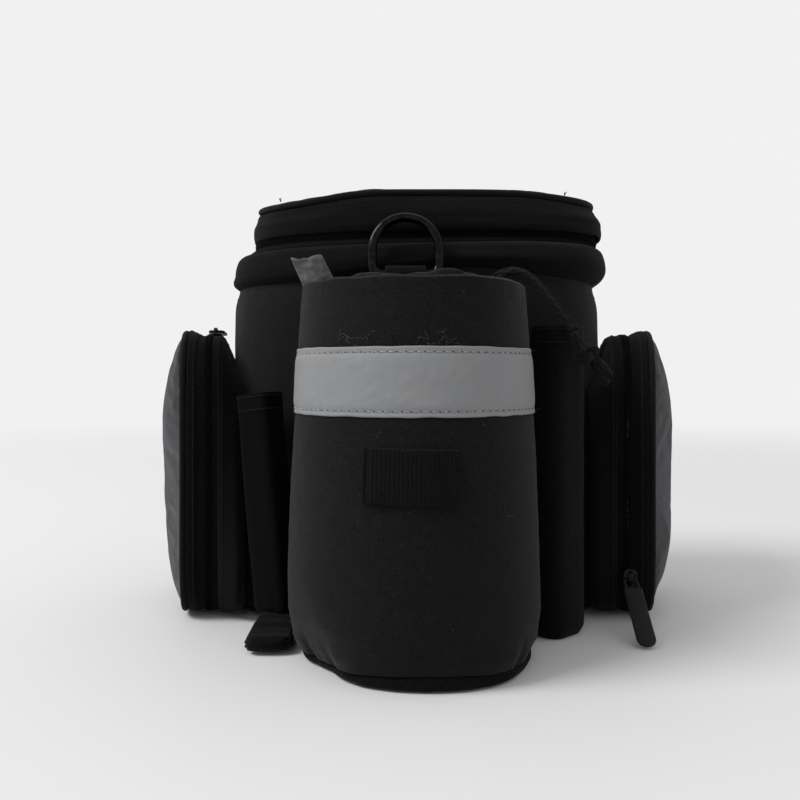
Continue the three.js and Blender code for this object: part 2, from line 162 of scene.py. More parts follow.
def rounded(corners, radius, closed, spacing):
    """A flat outline with its corners rounded off and its long sides divided."""
    steps = 3  # parts of each rounded corner
    corners = [Vector(c) for c in corners]
    count = len(corners)
    line = []
    for i, corner in enumerate(corners):
        if not closed and i in (0, count - 1):
            line.append(corner)
            continue
        before, after = corners[i - 1], corners[(i + 1) % count]
        reach = min(radius, (before - corner).length / 2.1, (after - corner).length / 2.1)
        start = corner + (before - corner).normalized() * reach
        end = corner + (after - corner).normalized() * reach
        for k in range(steps + 1):
            t = k / steps
            line.append(start.lerp(corner, t).lerp(corner.lerp(end, t), t))
    pairs = list(zip(line, line[1:] + line[:1] if closed else line[1:]))
    result = []
    for a, b in pairs:
        parts = max(1, math.ceil((b - a).length / spacing))
        result += [a.lerp(b, k / parts) for k in range(parts)]
    return result if closed else [*result, line[-1]]


# ---- Plan outlines: superellipses with their own reach and squareness front and rear ----


class Plan:
    def __init__(self, centre, half_x, front, rear, front_power, rear_power):
        self.centre = Vector((*centre, 0))
        self.half_x, self.front, self.rear = half_x, front, rear
        self.front_power, self.rear_power = front_power, rear_power
        self.least = min(half_x, front, rear)

    def reach(self, angle):
        ahead = math.sin(angle) < 0
        depth, power = (self.front, self.front_power) if ahead else (self.rear, self.rear_power)
        across = abs(math.cos(angle) / self.half_x) ** power
        along = abs(math.sin(angle) / depth) ** power
        return (across + along) ** (-1 / power)

    def point(self, angle, inset, height):
        radius = max(0.0, self.least - inset)
        reach = radius + (self.reach(angle) - self.least) * min(1.0, 2 * radius / self.least)
        return self.centre + Vector((reach * math.cos(angle), reach * math.sin(angle), height))

    def outward(self, angle):
        step = 0.01
        along = self.point(angle + step, 0, 0) - self.point(angle - step, 0, 0)
        return Vector((along.y, -along.x, 0)).normalized()

    def front_at(self, x):
        """Y of the front outline at that X."""
        share = min(1.0, abs((x - self.centre.x) / self.half_x))
        return self.centre.y - self.front * (1 - share**self.front_power) ** (1 / self.front_power)

    def side_at(self, y):
        """Half width of the outline at that Y."""
        ahead = y < self.centre.y
        depth, power = (self.front, self.front_power) if ahead else (self.rear, self.rear_power)
        share = min(1.0, abs((y - self.centre.y) / depth))
        return self.half_x * (1 - share**power) ** (1 / power)


def plan_round(node, inset, centre_y, front_power, rear_power):
    """The plan of a turned CAD node whose widest part has that inset from it."""
    low, high = box(node)
    half_x = (high.x - low.x) / 2 + inset
    front, rear = centre_y - low.y + inset, high.y - centre_y + inset
    return Plan(((low.x + high.x) / 2, centre_y), half_x, front, rear, front_power, rear_power)


BODY = plan_round("base_panel", 1, 0, 2.8, 6)
LID = plan_round("lid_side_band", 0, 0, 2.8, 6)
SLEEVE_Y = -98
SLEEVE = plan_round("sleeve_base", 0, SLEEVE_Y, 2, 5)
COLLAR = Plan((2.3, 0), BODY.half_x + 0.8, BODY.front, BODY.rear, 2.8, 6)
POCKET = Plan((0, 0), 46, 67, 67, 5, 5)  # across is the pocket's depth, and along is its height

BODY_TOP = box("body_shell")[1].z
COLLAR_TOP = box("body_collar")[1].z
ZIP_Z = JOINTS["lid_hinge"]["pos_m"][2] / MM
LID_RIM = box("lid_side_band")[1].z
LID_TOP = box("lid_top_panel")[1].z
SLEEVE_TOP = box("sleeve_hem")[1].z
HEM_LOW = box("sleeve_hem")[0].z
POCKET_TOE = math.radians(8)
POCKET_X = 102.4  # the zip's plane at the pocket's middle
POCKET_Y = -11.4
POCKET_DEEP = 17  # how far the inner half reaches in from the zip
POCKET_LIP = 4.8  # where the inner half meets its zip tape
POCKET_TAPER = 9.6  # the depth over which the inner half narrows
CLOTH_GAP = 2.4  # the least that the inner half stays clear of the body's plan

# ---- Meshes ----


def make_object(name, mesh):
    for polygon in mesh.polygons:
        polygon.use_smooth = True
    thing = bpy.data.objects.new(name, mesh)
    bpy.context.scene.collection.objects.link(thing)
    return thing


def grid_mesh(name, rows, wrap_rows=False, wrap_columns=True, place=None, mirrored=False, planar=None):
    """A mesh over rows of points, with a UV map in millimetres of cloth. planar picks two axes for it."""
    mesh = bpy.data.meshes.new(name)
    layout = bmesh.new()
    cloth = layout.loops.layers.uv.new("cloth")
    columns = len(rows[0])
    middle = rows[len(rows) // 2]
    across = [0.0]
    for k in range(columns):
        across.append(across[-1] + (middle[(k + 1) % columns] - middle[k]).length)
    along = [0.0]
    for a, b in zip(rows, rows[1:] + rows[:1]):
        along.append(along[-1] + sum((p - q).length for p, q in zip(a, b)) / columns)
    placed = place or (lambda p: p)
    made = [[layout.verts.new(placed(p) * MM) for p in row] for row in rows]
    for i in range(len(rows) if wrap_rows else len(rows) - 1):
        for k in range(columns if wrap_columns else columns - 1):
            corners = [(i, k), (i, k + 1), (i + 1, k + 1), (i + 1, k)]
            if mirrored:
                corners.reverse()
            face = layout.faces.new([made[r % len(rows)][c % columns] for r, c in corners])
            for loop, (r, c) in zip(face.loops, corners):
                point = rows[r % len(rows)][c % columns]
                loop[cloth].uv = [point[axis] for axis in planar] if planar else (across[c], along[r])
    bmesh.ops.remove_doubles(layout, verts=layout.verts, dist=0.02 * MM)
    bmesh.ops.dissolve_degenerate(layout, edges=layout.edges, dist=0.005 * MM)
    if layout.faces and layout.calc_volume(signed=True) < 0:
        bmesh.ops.reverse_faces(layout, faces=layout.faces)
    layout.to_mesh(mesh)
    layout.free()
    return make_object(name, mesh)


def turned(plan, corners, radius=0.5, columns=180, spacing=2.5, closed=True, shift=None, settle=None):
    """Rows of points: an outline of (inset, height) corners turned round the plan.

    shift moves a point outward, and settle then puts it clear of what it lies against.
    """
    flat = [(min(inset, plan.least), height) for inset, height in corners]
    rows = []
    for inset, height in rounded(flat, radius, closed, spacing):
        row = []
        for angle in ring_angles(columns):
            point = plan.point(angle, inset, height)
            if shift:
                point = point + plan.outward(angle) * shift(angle, height, point)
            row.append(settle(point, inset, height) if settle else point)
        rows.append(row)
    return rows


def sweep(points, section, up):
    """Rows of points: a section carried along a line.

    section(share of the length, length so far) gives the list of (side, up) round a point.
    """
    rows, total = [], 0.0
    side = None
    for i, point in enumerate(points):
        ahead = (points[min(i + 1, len(points) - 1)] - points[max(i - 1, 0)]).normalized()
        if side is None:
            side = ahead.cross(up)
            side = side.normalized() if side.length > 0.05 else ahead.cross(RIGHT).normalized()
        else:
            side = (side - ahead * side.dot(ahead)).normalized()
            total += (point - points[i - 1]).length
        top = side.cross(ahead)
        rows.append([point + side * a + top * b for a, b in section(i / (len(points) - 1), total)])
    return rows


def round_section(radius, sides, relief=None):
    """A round section for sweep. relief(angle, length) adds to the radius."""

    def section(_, length):
        made = []
        for angle in ring_angles(sides):
            size = radius + (relief(angle, length) if relief else 0)
            made.append((size * math.cos(angle), size * math.sin(angle)))
        return made

    return section


def flat_section(half_wide, half_thick, radius, spacing):
    """A flat strap's section for sweep."""
    a, b = half_wide, half_thick
    outline = rounded([(-a, -b), (a, -b), (a, b), (-a, b)], radius, True, spacing)
    return lambda share, length: outline


def closed_tube(points, section, up=UP):
    """Swept rows with both ends drawn in to a point, as rounded caps."""
    rows = sweep(points, section, up)
    caps = []
    for row, end, inner in ((rows[0], points[0], points[1]), (rows[-1], points[-1], points[-2])):
        out = (end - inner).normalized()
        size = (row[0] - end).length
        caps.append([end + (p - end) * 0.72 + out * size * 0.3 for p in row])
        caps.append([end + out * size * 0.42] * len(row))
    return [caps[1], caps[0], *rows, caps[2], caps[3]]


def join(name, things):
    """One mesh object from several."""
    layout = bmesh.new()
    for thing in things:
        layout.from_mesh(thing.data)
    mesh = bpy.data.meshes.new(name)
    layout.to_mesh(mesh)
    layout.free()
    for thing in things:
        bpy.data.objects.remove(thing)
    return make_object(name, mesh)


# ---- Finishes: each is a procedural material for one of the record's slots ----


class Finish:
    """A material with one shader, and short calls for the nodes that feed it."""

    def __init__(self, name, **sockets):
        self.material = bpy.data.materials.new(name)
        self.material.use_nodes = True
        self.tree = self.material.node_tree
        self.shader = self.tree.nodes["Principled BSDF"]
        for socket, value in sockets.items():
            self.shader.inputs[socket.replace("_", " ")].default_value = value
        self.where = self.add("TexCoord").outputs["Object"]
        cloth = self.add("UVMap")
        cloth.uv_map = "cloth"
        self.cloth = cloth.outputs["UV"]

    def add(self, kind, **inputs):
        node = self.tree.nodes.new("ShaderNode" + kind)
        for socket, value in inputs.items():
            self.feed(node.inputs[socket], value)
        return node

    def feed(self, socket, value):
        if isinstance(value, bpy.types.NodeSocket):
            self.tree.links.new(value, socket)
        else:
            socket.default_value = value

    def math(self, operation, *values):
        node = self.tree.nodes.new("ShaderNodeMath")
        node.operation = operation
        for socket, value in zip(node.inputs, values):
            self.feed(socket, value)
        return node.outputs[0]

    def noise(self, size, detail=2.0, roughness=0.5):
        """Smooth noise with features of about that many millimetres."""
        node = self.add("TexNoise", Vector=self.where, Scale=1 / (size * MM), Detail=detail)
        node.inputs["Roughness"].default_value = roughness
        return node.outputs["Fac"]

    def ramp(self, value, low, high):
        """0 below low, 1 above high and smooth between."""
        node = self.add("MapRange", Value=value)
        node.interpolation_type = "SMOOTHSTEP"
        node.inputs["From Min"].default_value = low
        node.inputs["From Max"].default_value = high
        return node.outputs[0]

    def mix(self, share, a, b):
        node = self.tree.nodes.new("ShaderNodeMix")
        node.data_type = "RGBA"
        self.feed(node.inputs[0], share)
        for socket, value in ((node.inputs[6], a), (node.inputs[7], b)):
            self.feed(socket, (*value, 1.0) if isinstance(value, tuple) else value)
        return node.outputs[2]

    def cloth_axes(self, turn=0.0):
        """The two directions along the cloth, in millimetres, turned by an angle."""
        split = self.add("SeparateXYZ", Vector=self.cloth)
        across, along = split.outputs[0], split.outputs[1]
        if not turn:
            return across, along
        c, s = math.cos(turn), math.sin(turn)
        first = self.math("ADD", self.math("MULTIPLY", across, c), self.math("MULTIPLY", along, s))
        second = self.math("SUBTRACT", self.math("MULTIPLY", along, c), self.math("MULTIPLY", across, s))
        return first, second

    def ribs(self, axis, pitch):
        """Rounded ribs, from 0 in the grooves to 1 on the crowns."""
        return self.math("ABSOLUTE", self.math("SINE", self.math("MULTIPLY", axis, math.pi / pitch)))

    def weave(self, pitch, turn=0.0):
        """Plain weave: yarns pass over and under each other in a chequer."""
        across, along = self.cloth_axes(turn)
        over = self.math("ADD", self.floor(across, pitch), self.floor(along, pitch))
        over = self.math("MODULO", self.math("ABSOLUTE", over), 2.0)
        warp = self.ribs(across, pitch)
        weft = self.ribs(along, pitch)
        shown = self.math("MULTIPLY", warp, over)
        return self.math("ADD", shown, self.math("MULTIPLY", weft, self.math("SUBTRACT", 1.0, over)))

    def floor(self, axis, pitch):
        return self.math("FLOOR", self.math("DIVIDE", axis, pitch))

    def bump(self, height, depth, below=None):
        """Surface relief of that depth in millimetres, on top of another relief."""
        node = self.add("Bump", Height=height, Distance=depth * MM)
        if below:
            self.feed(node.inputs["Normal"], below)
        return node.outputs["Normal"]

    def wear(self, colour, roughness, normal):
        self.feed(self.shader.inputs["Base Color"], colour)
        self.feed(self.shader.inputs["Roughness"], roughness)
        self.feed(self.shader.inputs["Normal"], normal)
        return self.material


def grey(value, warmth=0.0):
    return (value * (1 + warmth), value, value * (1 - warmth))


def woven(name, shade, pitch=0.55, turn=0.0, sheen=0.07, lint=0.0, gloss=0.07, uneven=0.25):
    """Woven cloth: yarns with painted shade in the grooves between them, patches that have faded a little,
    loose fibre and specks of lint.
    """
    f = Finish(name, Specular_IOR_Level=gloss, Sheen_Weight=sheen, Sheen_Roughness=0.45)
    f.shader.inputs["Sheen Tint"].default_value = (0.75, 0.77, 0.8, 1)
    yarns = f.weave(pitch, turn)
    patches = f.ramp(f.noise(38, 3), 0.3, 0.7)
    fibres = f.noise(0.75, 4, 0.7)
    # painted shade: the yarns' tone follows the weave's relief, darker in the grooves between yarns
    tone = f.mix(yarns, grey(shade * 0.55), grey(shade * 1.35))
    tone = f.mix(f.math("MULTIPLY", patches, uneven), tone, grey(shade * 1.7))
    tone = f.mix(f.ramp(fibres, 0.42, 0.7), tone, grey(shade * 2.6, 0.03))
    if lint:
        specks = f.ramp(f.noise(0.4, 1), 0.72, 0.78)
        tone = f.mix(f.math("MULTIPLY", specks, lint), tone, (0.09, 0.085, 0.07))
    rough = f.math("MULTIPLY_ADD", fibres, 0.15, 0.78)
    soft = f.bump(f.noise(6, 3), 0.25)
    return f.wear(tone, rough, f.bump(yarns, 0.09, f.bump(fibres, 0.05, soft)))


def ribbed(name, shade):
    """Webbing: raised ribs with fine slanting threads on each."""
    rib_pitch, thread_pitch = 1.4, 0.42
    f = Finish(name, Specular_IOR_Level=0.06, Sheen_Weight=0.05, Sheen_Roughness=0.4)
    across, along = f.cloth_axes()
    ribs = f.ribs(across, rib_pitch)
    slanting = f.math("ADD", along, f.math("MULTIPLY", across, 0.6))
    threads = f.ribs(slanting, thread_pitch)
    height = f.math("ADD", f.math("MULTIPLY", ribs, 0.75), f.math("MULTIPLY", threads, 0.25))
    # painted shade: the tone follows the ribs' relief, darker in the grooves and lighter on the crowns
    tone = f.mix(height, grey(shade * 0.45), grey(shade * 1.5))
    tone = f.mix(f.ramp(f.noise(0.8, 3), 0.6, 0.75), tone, grey(shade * 2.1, 0.03))
    return f.wear(tone, f.math("MULTIPLY_ADD", ribs, -0.12, 0.8), f.bump(height, 0.22))


def reflective():
    """Reflective tape: a pale coat of tiny beads on cloth, rubbed in places."""
    f = Finish("reflective_tape", Specular_IOR_Level=0.2)
    beads = f.noise(0.22, 2)
    rubbed = f.ramp(f.noise(14, 4, 0.6), 0.42, 0.7)
    scuffs = f.ramp(f.noise(2.2, 4, 0.75), 0.6, 0.78)
    tone = f.mix(beads, (0.148, 0.151, 0.156), (0.208, 0.211, 0.217))
    tone = f.mix(f.math("MULTIPLY", rubbed, 0.35), tone, (0.185, 0.182, 0.172))
    tone = f.mix(f.math("MULTIPLY", scuffs, 0.25), tone, (0.3, 0.3, 0.3))
    rough = f.math("MULTIPLY_ADD", rubbed, 0.12, 0.5)
    return f.wear(tone, rough, f.bump(beads, 0.02, f.bump(f.weave(0.5), 0.02, f.bump(f.noise(9, 3), 0.3))))


def gunmetal():
    """Black plated metal with finger smears and fine rubbed lines."""
    f = Finish("gunmetal", Metallic=1.0, Specular_IOR_Level=0.5, Coat_Weight=0.08, Coat_Roughness=0.08)
    smears = f.ramp(f.noise(3, 4, 0.6), 0.4, 0.68)
    scratches = f.ramp(f.noise(0.35, 5, 0.8), 0.62, 0.7)
    tone = f.mix(smears, (0.005, 0.005, 0.006), (0.012, 0.012, 0.013))
    tone = f.mix(scratches, tone, (0.05, 0.049, 0.047))
    rough = f.math("MULTIPLY_ADD", smears, 0.16, 0.12)
    return f.wear(tone, rough, f.bump(scratches, 0.01))


def rubber():
    """Matt moulded rubber: a fine spark texture, paler where it is rubbed."""
    f = Finish("puller_rubber", Specular_IOR_Level=0.15, Sheen_Weight=0.05, Sheen_Roughness=0.6)
    grain = f.noise(0.35, 3, 0.6)
    rubbed = f.ramp(f.noise(4, 3), 0.5, 0.75)
    tone = f.mix(rubbed, (0.003, 0.003, 0.003), (0.008, 0.008, 0.0077))
    return f.wear(tone, f.math("MULTIPLY_ADD", grain, 0.2, 0.55), f.bump(grain, 0.04))


def plastic(name, shade, roughness, gloss=0.35):
    """Moulded nylon: slight flow marks and dull patches."""
    f = Finish(name, Specular_IOR_Level=gloss)
    marks = f.noise(1.4, 3)
    tone = f.mix(marks, grey(shade * 0.7), grey(shade * 1.3))
    return f.wear(tone, f.math("MULTIPLY_ADD", marks, 0.2, roughness), f.bump(marks, 0.03))


def foam():
    """Closed-cell foam: small pores over a dull skin."""
    f = Finish("foam", Specular_IOR_Level=0.2)
    pores = f.add("TexVoronoi", Vector=f.where, Scale=1 / (0.8 * MM)).outputs["Distance"]
    # painted shade: darker at the bottoms of the pores, following their relief
    tone = f.mix(pores, grey(0.01), grey(0.03))
    return f.wear(tone, 0.9, f.bump(pores, 0.1))


def lining(name, shade, sheen=0.15):
    """Thin nylon with a ripstop grid and a soft shine."""
    f = Finish(name, Specular_IOR_Level=sheen, Sheen_Weight=sheen, Sheen_Roughness=0.3)
    across, along = f.cloth_axes()
    fine = f.weave(0.3)
    grid = f.math("MAXIMUM", *(f.ramp(f.ribs(axis, 5.0), 0.995, 1.0) for axis in (across, along)))
    # painted shade: the fine weave's tone follows its relief, darker in the grooves
    tone = f.mix(fine, grey(shade * 0.7), grey(shade * 1.3))
    tone = f.mix(f.math("MULTIPLY", grid, 0.5), tone, grey(shade * 1.8))
    rough = f.math("MULTIPLY_ADD", f.noise(4, 3), 0.2, 0.5)
    return f.wear(tone, rough, f.bump(fine, 0.03, f.bump(f.noise(3.5, 3), 0.3)))


FINISHES = {
    "shell_fabric": woven("shell_fabric", 0.0025, sheen=0.045, gloss=0.03),
    "lining_fabric": lining("lining_fabric", 0.012),
    "foam": foam(),
    "base_board": plastic("base_board", 0.02, 0.5),
    "webbing": ribbed("webbing", 0.003),
    "piping": woven("piping", 0.003, pitch=0.4, turn=math.pi / 4, gloss=0.08, sheen=0.05),
    "zip_tape": woven("zip_tape", 0.0022, pitch=0.35, turn=math.pi / 4, sheen=0.02, gloss=0.03),
    "reflective_tape": reflective(),
    "gunmetal": gunmetal(),
    "puller_rubber": rubber(),
    "cord": woven("cord", 0.0026, pitch=0.32, turn=math.pi / 4, gloss=0.1, sheen=0.05, uneven=0.1),
}
SLEEVE_CLOTH = woven("sleeve_cloth", 0.0038, pitch=0.75, sheen=0.085, gloss=0.04, lint=0.6)
BODY_CLOTH = woven("body_cloth", 0.0036, sheen=0.11, gloss=0.04)
FACE_CLOTH = woven("face_cloth", 0.0052, pitch=0.6, sheen=0.29, gloss=0.08)
# a darker copy of the cloth for the left slim pocket: painted shade, for where it sits in shadow beside the
# sleeve
SLIM_CLOTH_PAINTED_SHADE = woven("slim_cloth_painted_shade", 0.0014, sheen=0.02, gloss=0.02)
TEETH = plastic("zip_teeth", 0.0014, 0.65, 0.05)
THREAD = woven("thread", 0.004, pitch=0.25, turn=0.6, gloss=0.1)
GREY_THREAD = woven("grey_thread", 0.2, pitch=0.25, turn=0.6, gloss=0.2)
HAIR = plastic("loose_fibre", 0.11, 0.6)
LOOP_CLOTH = woven("loop_cloth", 0.0026, pitch=0.4, sheen=0.04, gloss=0.04)
MOUTH_CLOTH = lining("mouth_cloth", 0.005, 0.06)
PALE_CLOTH = lining("pale_cloth", 0.085)
# a darker copy of the webbing: painted shade for the D-ring's tab, which sits in the shadow under the ring;
# the corner tab wears it too
TAB_WEBBING_PAINTED_SHADE = ribbed("tab_webbing_painted_shade", 0.001)


def piece(thing, slot, *nodes, body=None, finish=None):
    """A finished piece rides on a body, wears a slot's finish and stands for CAD nodes."""
    thing.data.materials.clear()
    thing.data.materials.append(finish or FINISHES[slot])
    if nodes:
        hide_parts(*nodes)
    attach(thing, body or BODY_OF[nodes[0]])
    return thing


# ---- Camera: low in front of the bag, at half its height ----

EYE = Vector((-8, -467, 113.6))
FILM_WIDTH, FOCAL_LENGTH = 36, 40.5
HORIZON = -1 / 32  # the horizon is a little above the middle of the frame


def make_camera():
    data = bpy.data.cameras.new("camera")
    data.sensor_width = FILM_WIDTH
    data.lens = FOCAL_LENGTH
    data.shift_y = HORIZON
    data.clip_start = 0.01
    camera = bpy.data.objects.new("camera", data)
    camera.location = EYE * MM
    camera.rotation_euler = (math.pi / 2, 0, 0)
    bpy.context.scene.collection.objects.link(camera)
    bpy.context.scene.camera = camera


make_camera()

# ---- Drawcord: two braided strands and the overhand knot that ties them ----

CORD_RADIUS = 1.5
KNOT = Vector((70.5, -85.5, 123.5))
CORD_FRONT = [
    (31.5, -77, 151),
    (34.5, -78, 154.8),
    (38.5, -79.3, 157.6),
    (43.2, -80.8, 157.8),
    (47.8, -82.2, 155),
    (52.2, -83.4, 150),
    (56.6, -84.4, 144.2),
    (61, -85.1, 138.2),
    (65, -85.6, 132.6),
]
CORD_REAR = [
    (29, -73.6, 151),
    (32.2, -74.6, 155.2),
    (36.6, -75.8, 158.2),
    (42, -77, 159),
    (47.2, -78.7, 156.8),
    (52, -80, 152.2),
    (56.6, -81, 146.6),
    (61, -81.9, 140.8),
    (64.8, -82.8, 135.9),
    (67.6, -83.5, 132.8),
]


def braid(angle, length):
    """The relief of eight strands crossing in a round braid."""
    lay = TURN * length / 5.2
    left = math.cos(4 * angle + lay)
    right = math.cos(4 * angle - lay)
    return 0.3 * (max(left, right) - 0.6)


def braided(name, points, radius=CORD_RADIUS):
    section = round_section(radius - 0.08, 24, braid)
    return grid_mesh(name, closed_tube(curve_through(points, 0.3), section))


def knot_loops(turns_from, turns_to, size, depth, centre, along, side):
    """An open overhand knot: a trefoil cut at one lobe, lying across the line that it is tied in."""
    across = along.cross(side)
    points = []
    for k in range(25):
        t = lerp(turns_from, turns_to, k / 24) * TURN
        x = math.sin(t) + 2 * math.sin(2 * t)
        y = math.cos(t) - 2 * math.cos(2 * t)
        z = -math.sin(3 * t)
        points.append(centre + (across * x + along * y) * size + side * z * depth)
    return points


def make_drawcord():
    knot_parts = []
    along = (KNOT - Vector(CORD_FRONT[-1])).normalized()
    side = Vector((0.12, -1, 0.05)).normalized()
    for route, shift, tail in ((CORD_FRONT, -0.9, 1.0), (CORD_REAR, 1.1, -0.9)):
        entry = Vector(route[-1])
        centre = KNOT + side * shift + along * (0.3 * shift)
        loops = knot_loops(0.56, 1.44, 1.25, 1.9, centre, along, side)
        tip = KNOT + Vector((9.5 + tail * 0.6, -1.2 - 0.3 * tail, -11.8 + 1.6 * tail))
        bend = KNOT + Vector((5.4 + tail, -1.0, -6.4 + tail))
        points = [entry + along * 1.2, *loops[2:-2], bend, tip]
        knot_parts.append(braided("part", points, CORD_RADIUS + 0.3))
    knot = piece(join("drawcord_knot_loops", knot_parts), "cord", "drawcord_knot")
    for name, route in (("drawcord_front", CORD_FRONT), ("drawcord_rear", CORD_REAR)):
        path = curve_through(route, 0.5)
        strand = piece(braided(name, route), "cord", name + "_strand")


make_drawcord()

# ---- Sewing: stitches along a seam, and the teeth of a zip ----

STITCH_SINK = 0.24  # how far a stitch's ends dip into the cloth
TOOTH_RADIUS = 0.34
TOOTH_PITCH = 1.5
INNER_TEETH, OUTER_TEETH = (-1.6, 0.3), (1.6, -0.3)  # each half's reach across the zip


def stitch_rows(line, pitch, length, radius):
    """Thread stitches along a list of (point, outward normal): each dips into the cloth at its ends."""
    points = [point for point, _ in line]
    normals = [normal for _, normal in line]
    total = [0.0]
    for a, b in zip(points, points[1:]):
        total.append(total[-1] + (b - a).length)
    made, i = [], 0
    for k in range(int(total[-1] / pitch)):
        middle = (k + 0.5) * pitch
        path = []
        for j in range(5):
            at = middle + (j / 4 - 0.5) * length
            while i < len(total) - 2 and total[i + 1] < at:
                i += 1
            while i > 0 and total[i] > at:
                i -= 1
            share = (at - total[i]) / (total[i + 1] - total[i])
            lift = radius * 0.7 - STITCH_SINK * (j / 2 - 1) ** 4
            path.append(points[i].lerp(points[i + 1], share) + normals[i].lerp(normals[i + 1], share) * lift)
        made.append((path, normals[i]))
    return made


def tube_set(name, paths, radius, sides=6):
    """Many short round tubes with closed ends, as one mesh. paths holds (points, up)."""
    mesh = bpy.data.meshes.new(name)
    layout = bmesh.new()
    cloth = layout.loops.layers.uv.new("cloth")
    for points, up in paths:
        rows = closed_tube(points, round_section(radius, sides), up=up)
        made = [[layout.verts.new(p * MM) for p in row] for row in rows[1:-1]]
        for i in range(len(made) - 1):
            for k in range(sides):
                n = (k + 1) % sides
                face = layout.faces.new((made[i][k], made[i][n], made[i + 1][n], made[i + 1][k]))
                for loop, (u, v) in zip(face.loops, ((k, i), (k + 1, i), (k + 1, i + 1), (k, i + 1))):
                    loop[cloth].uv = (u * 0.3, v * 0.5)
        layout.faces.new(list(reversed(made[0])))
        layout.faces.new(made[-1])
    bmesh.ops.recalc_face_normals(layout, faces=layout.faces)
    layout.to_mesh(mesh)
    layout.free()
    return make_object(name, mesh)


def sew(name, lines, slot, body, pitch=2.6, length=2.0, radius=0.2, finish=None):
    """Rows of stitches as one piece on a body."""
    paths = [stitch for line in lines for stitch in stitch_rows(line, pitch, length, radius)]
    return piece(tube_set(name, paths, radius), slot, body=body, finish=finish or THREAD)


def zip_teeth(name, line, body, phase, reach):
    """One side of a coil zip along a list of (point, outward normal, direction across the zip)."""
    points = evenly([point for point, _, _ in line], TOOTH_PITCH)
    paths = []
    i = 0
    for k, point in enumerate(points[1:-1]):
        ahead = (points[k + 2] - points[k]).normalized()
        while i < len(line) - 1 and (line[i][0] - point).length > (line[i + 1][0] - point).length:
            i += 1
        out, across = line[i][1], line[i][2]
        at = point + ahead * phase * TOOTH_PITCH
        start = at + across * reach[0] + out * 0.1
        middle = at + across * (reach[0] + reach[1]) / 2 + out * 0.5
        end = at + across * reach[1] + out * 0.3
        paths.append(([start, start.lerp(middle, 0.6) + out * 0.15, middle, end], out))
    return piece(tube_set(name, paths, TOOTH_RADIUS), "zip_tape", body=body, finish=TEETH)


# ---- Padding: flat cloth panels puffed out by cloth simulation ----


def panel_rows(plan, inset, height, across, along):
    """A grid that fills a plan outline. height(share of the way out) gives each point's height."""
    rows = []
    for j in range(along + 1):
        row = []
        for i in range(across + 1):
            a, b = 2 * i / across - 1, 2 * j / along - 1
            share = max(abs(a), abs(b))
            angle = math.atan2(b * plan.front, a * plan.half_x)
            edge = plan.point(angle, inset, 0) - plan.centre
            row.append(plan.centre + edge * share + Vector((0, 0, height(share))))
        rows.append(row)
    return rows


SIM_FRAMES = 20


def puff(thing, pressure, cap, pinned, slack=0.02):
    """Cloth simulation with air pressure behind a panel. Pinned points stay, and none moves over cap mm."""
    scene = bpy.context.scene
    group = thing.vertex_groups.new(name="sewn")
    group.add(pinned, 1.0, "ADD")
    cloth = thing.modifiers.new("cloth", "CLOTH")
    settings = cloth.settings
    settings.quality = 5
    settings.mass = 0.2
    settings.tension_stiffness = settings.compression_stiffness = 14
    settings.bending_stiffness = 0.15
    settings.air_damping = 2
    settings.shrink_min = -slack
    settings.use_pressure = True
    settings.uniform_pressure_force = pressure
    settings.vertex_group_mass = "sewn"
    settings.effector_weights.gravity = 0
    cloth.point_cache.frame_start, cloth.point_cache.frame_end = 1, SIM_FRAMES
    for frame_number in range(1, SIM_FRAMES + 1):
        scene.frame_set(frame_number)
    graph = bpy.context.evaluated_depsgraph_get()
    shaped = thing.evaluated_get(graph).data.vertices
    moved = []
    for vertex, after in zip(thing.data.vertices, shaped):
        step = after.co - vertex.co
        moved.append(vertex.co + step * min(1.0, cap * MM / max(step.length, 1e-9)))
    thing.modifiers.remove(cloth)
    thing.vertex_groups.remove(group)
    for vertex, place in zip(thing.data.vertices, moved):
        vertex.co = place
    scene.frame_set(1)


def thicken(thing, thickness):
    """Gives a panel one smoothing subdivision and its thickness, inward, with no modifiers left on it."""
    smooth = thing.modifiers.new("smooth", "SUBSURF")
    smooth.levels = smooth.render_levels = 1
    solid = thing.modifiers.new("thickness", "SOLIDIFY")
    solid.thickness = thickness * MM
    solid.offset = -1
    graph = bpy.context.evaluated_depsgraph_get()
    thing.data = bpy.data.meshes.new_from_object(thing.evaluated_get(graph))
    thing.modifiers.clear()
    return thing


def face_towards(panel, outward):
    """Turns a panel's faces to that side."""
    if sum(polygon.normal.dot(outward) for polygon in panel.data.polygons) < 0:
        panel.data.flip_normals()


def edge_indices(across, along):
    """Indices of a panel grid's outer points."""
    places = [(i, j) for j in range(along + 1) for i in range(across + 1)]
    return [k for k, (i, j) in enumerate(places) if min(i, j, across - i, along - j) < 1]


# ---- Main body: wall, base, collar, foam, lining and board ----


def body_folds(angle, height, point):
    """Soft vertical folds, fuller in the middle, drawn in at the seams."""
    full = math.sin(math.pi * min(1, max(0, (height - 3) / (BODY_TOP - 3))))
    drift = wobble((point.x, point.y, point.z * 0.35), 34, 3)
    fine = wobble((point.x, point.y, point.z * 0.6), 9, 4)
    top_tuck = hill(height, BODY_TOP, 6) * 2.2
    return full * (0.4 + 1.3 * drift) + 0.22 * fine - top_tuck


def collar_folds(angle, height, point):
    """A padded roll with small puckers along both seams."""
    edge = max(hill(height, BODY_TOP, 4), hill(height, COLLAR_TOP, 4))
    puckers = wobble((angle * 60, height * 0.3, 0), 3.2, 6) * 0.45 * edge
    creases = 0.5 * wobble((point.x * 0.4, point.y * 0.4, point.z * 1.4), 9, 7)
    return 0.9 * wobble((point.x, point.y, point.z * 0.5), 26, 5) + creases + puckers


def ring_line(plan, inset, height, lift=0.0, shift=None, start=0.0, stop=TURN):
    """(point, outward normal) along a plan outline, for sewing."""
    line = []
    for angle in turns_between(start, stop, 480):
        normal = plan.outward(angle)
        point = plan.point(angle, inset, height)
        push = lift + (shift(angle, height, point) if shift else 0)
        line.append((point + normal * push, normal))
    return line


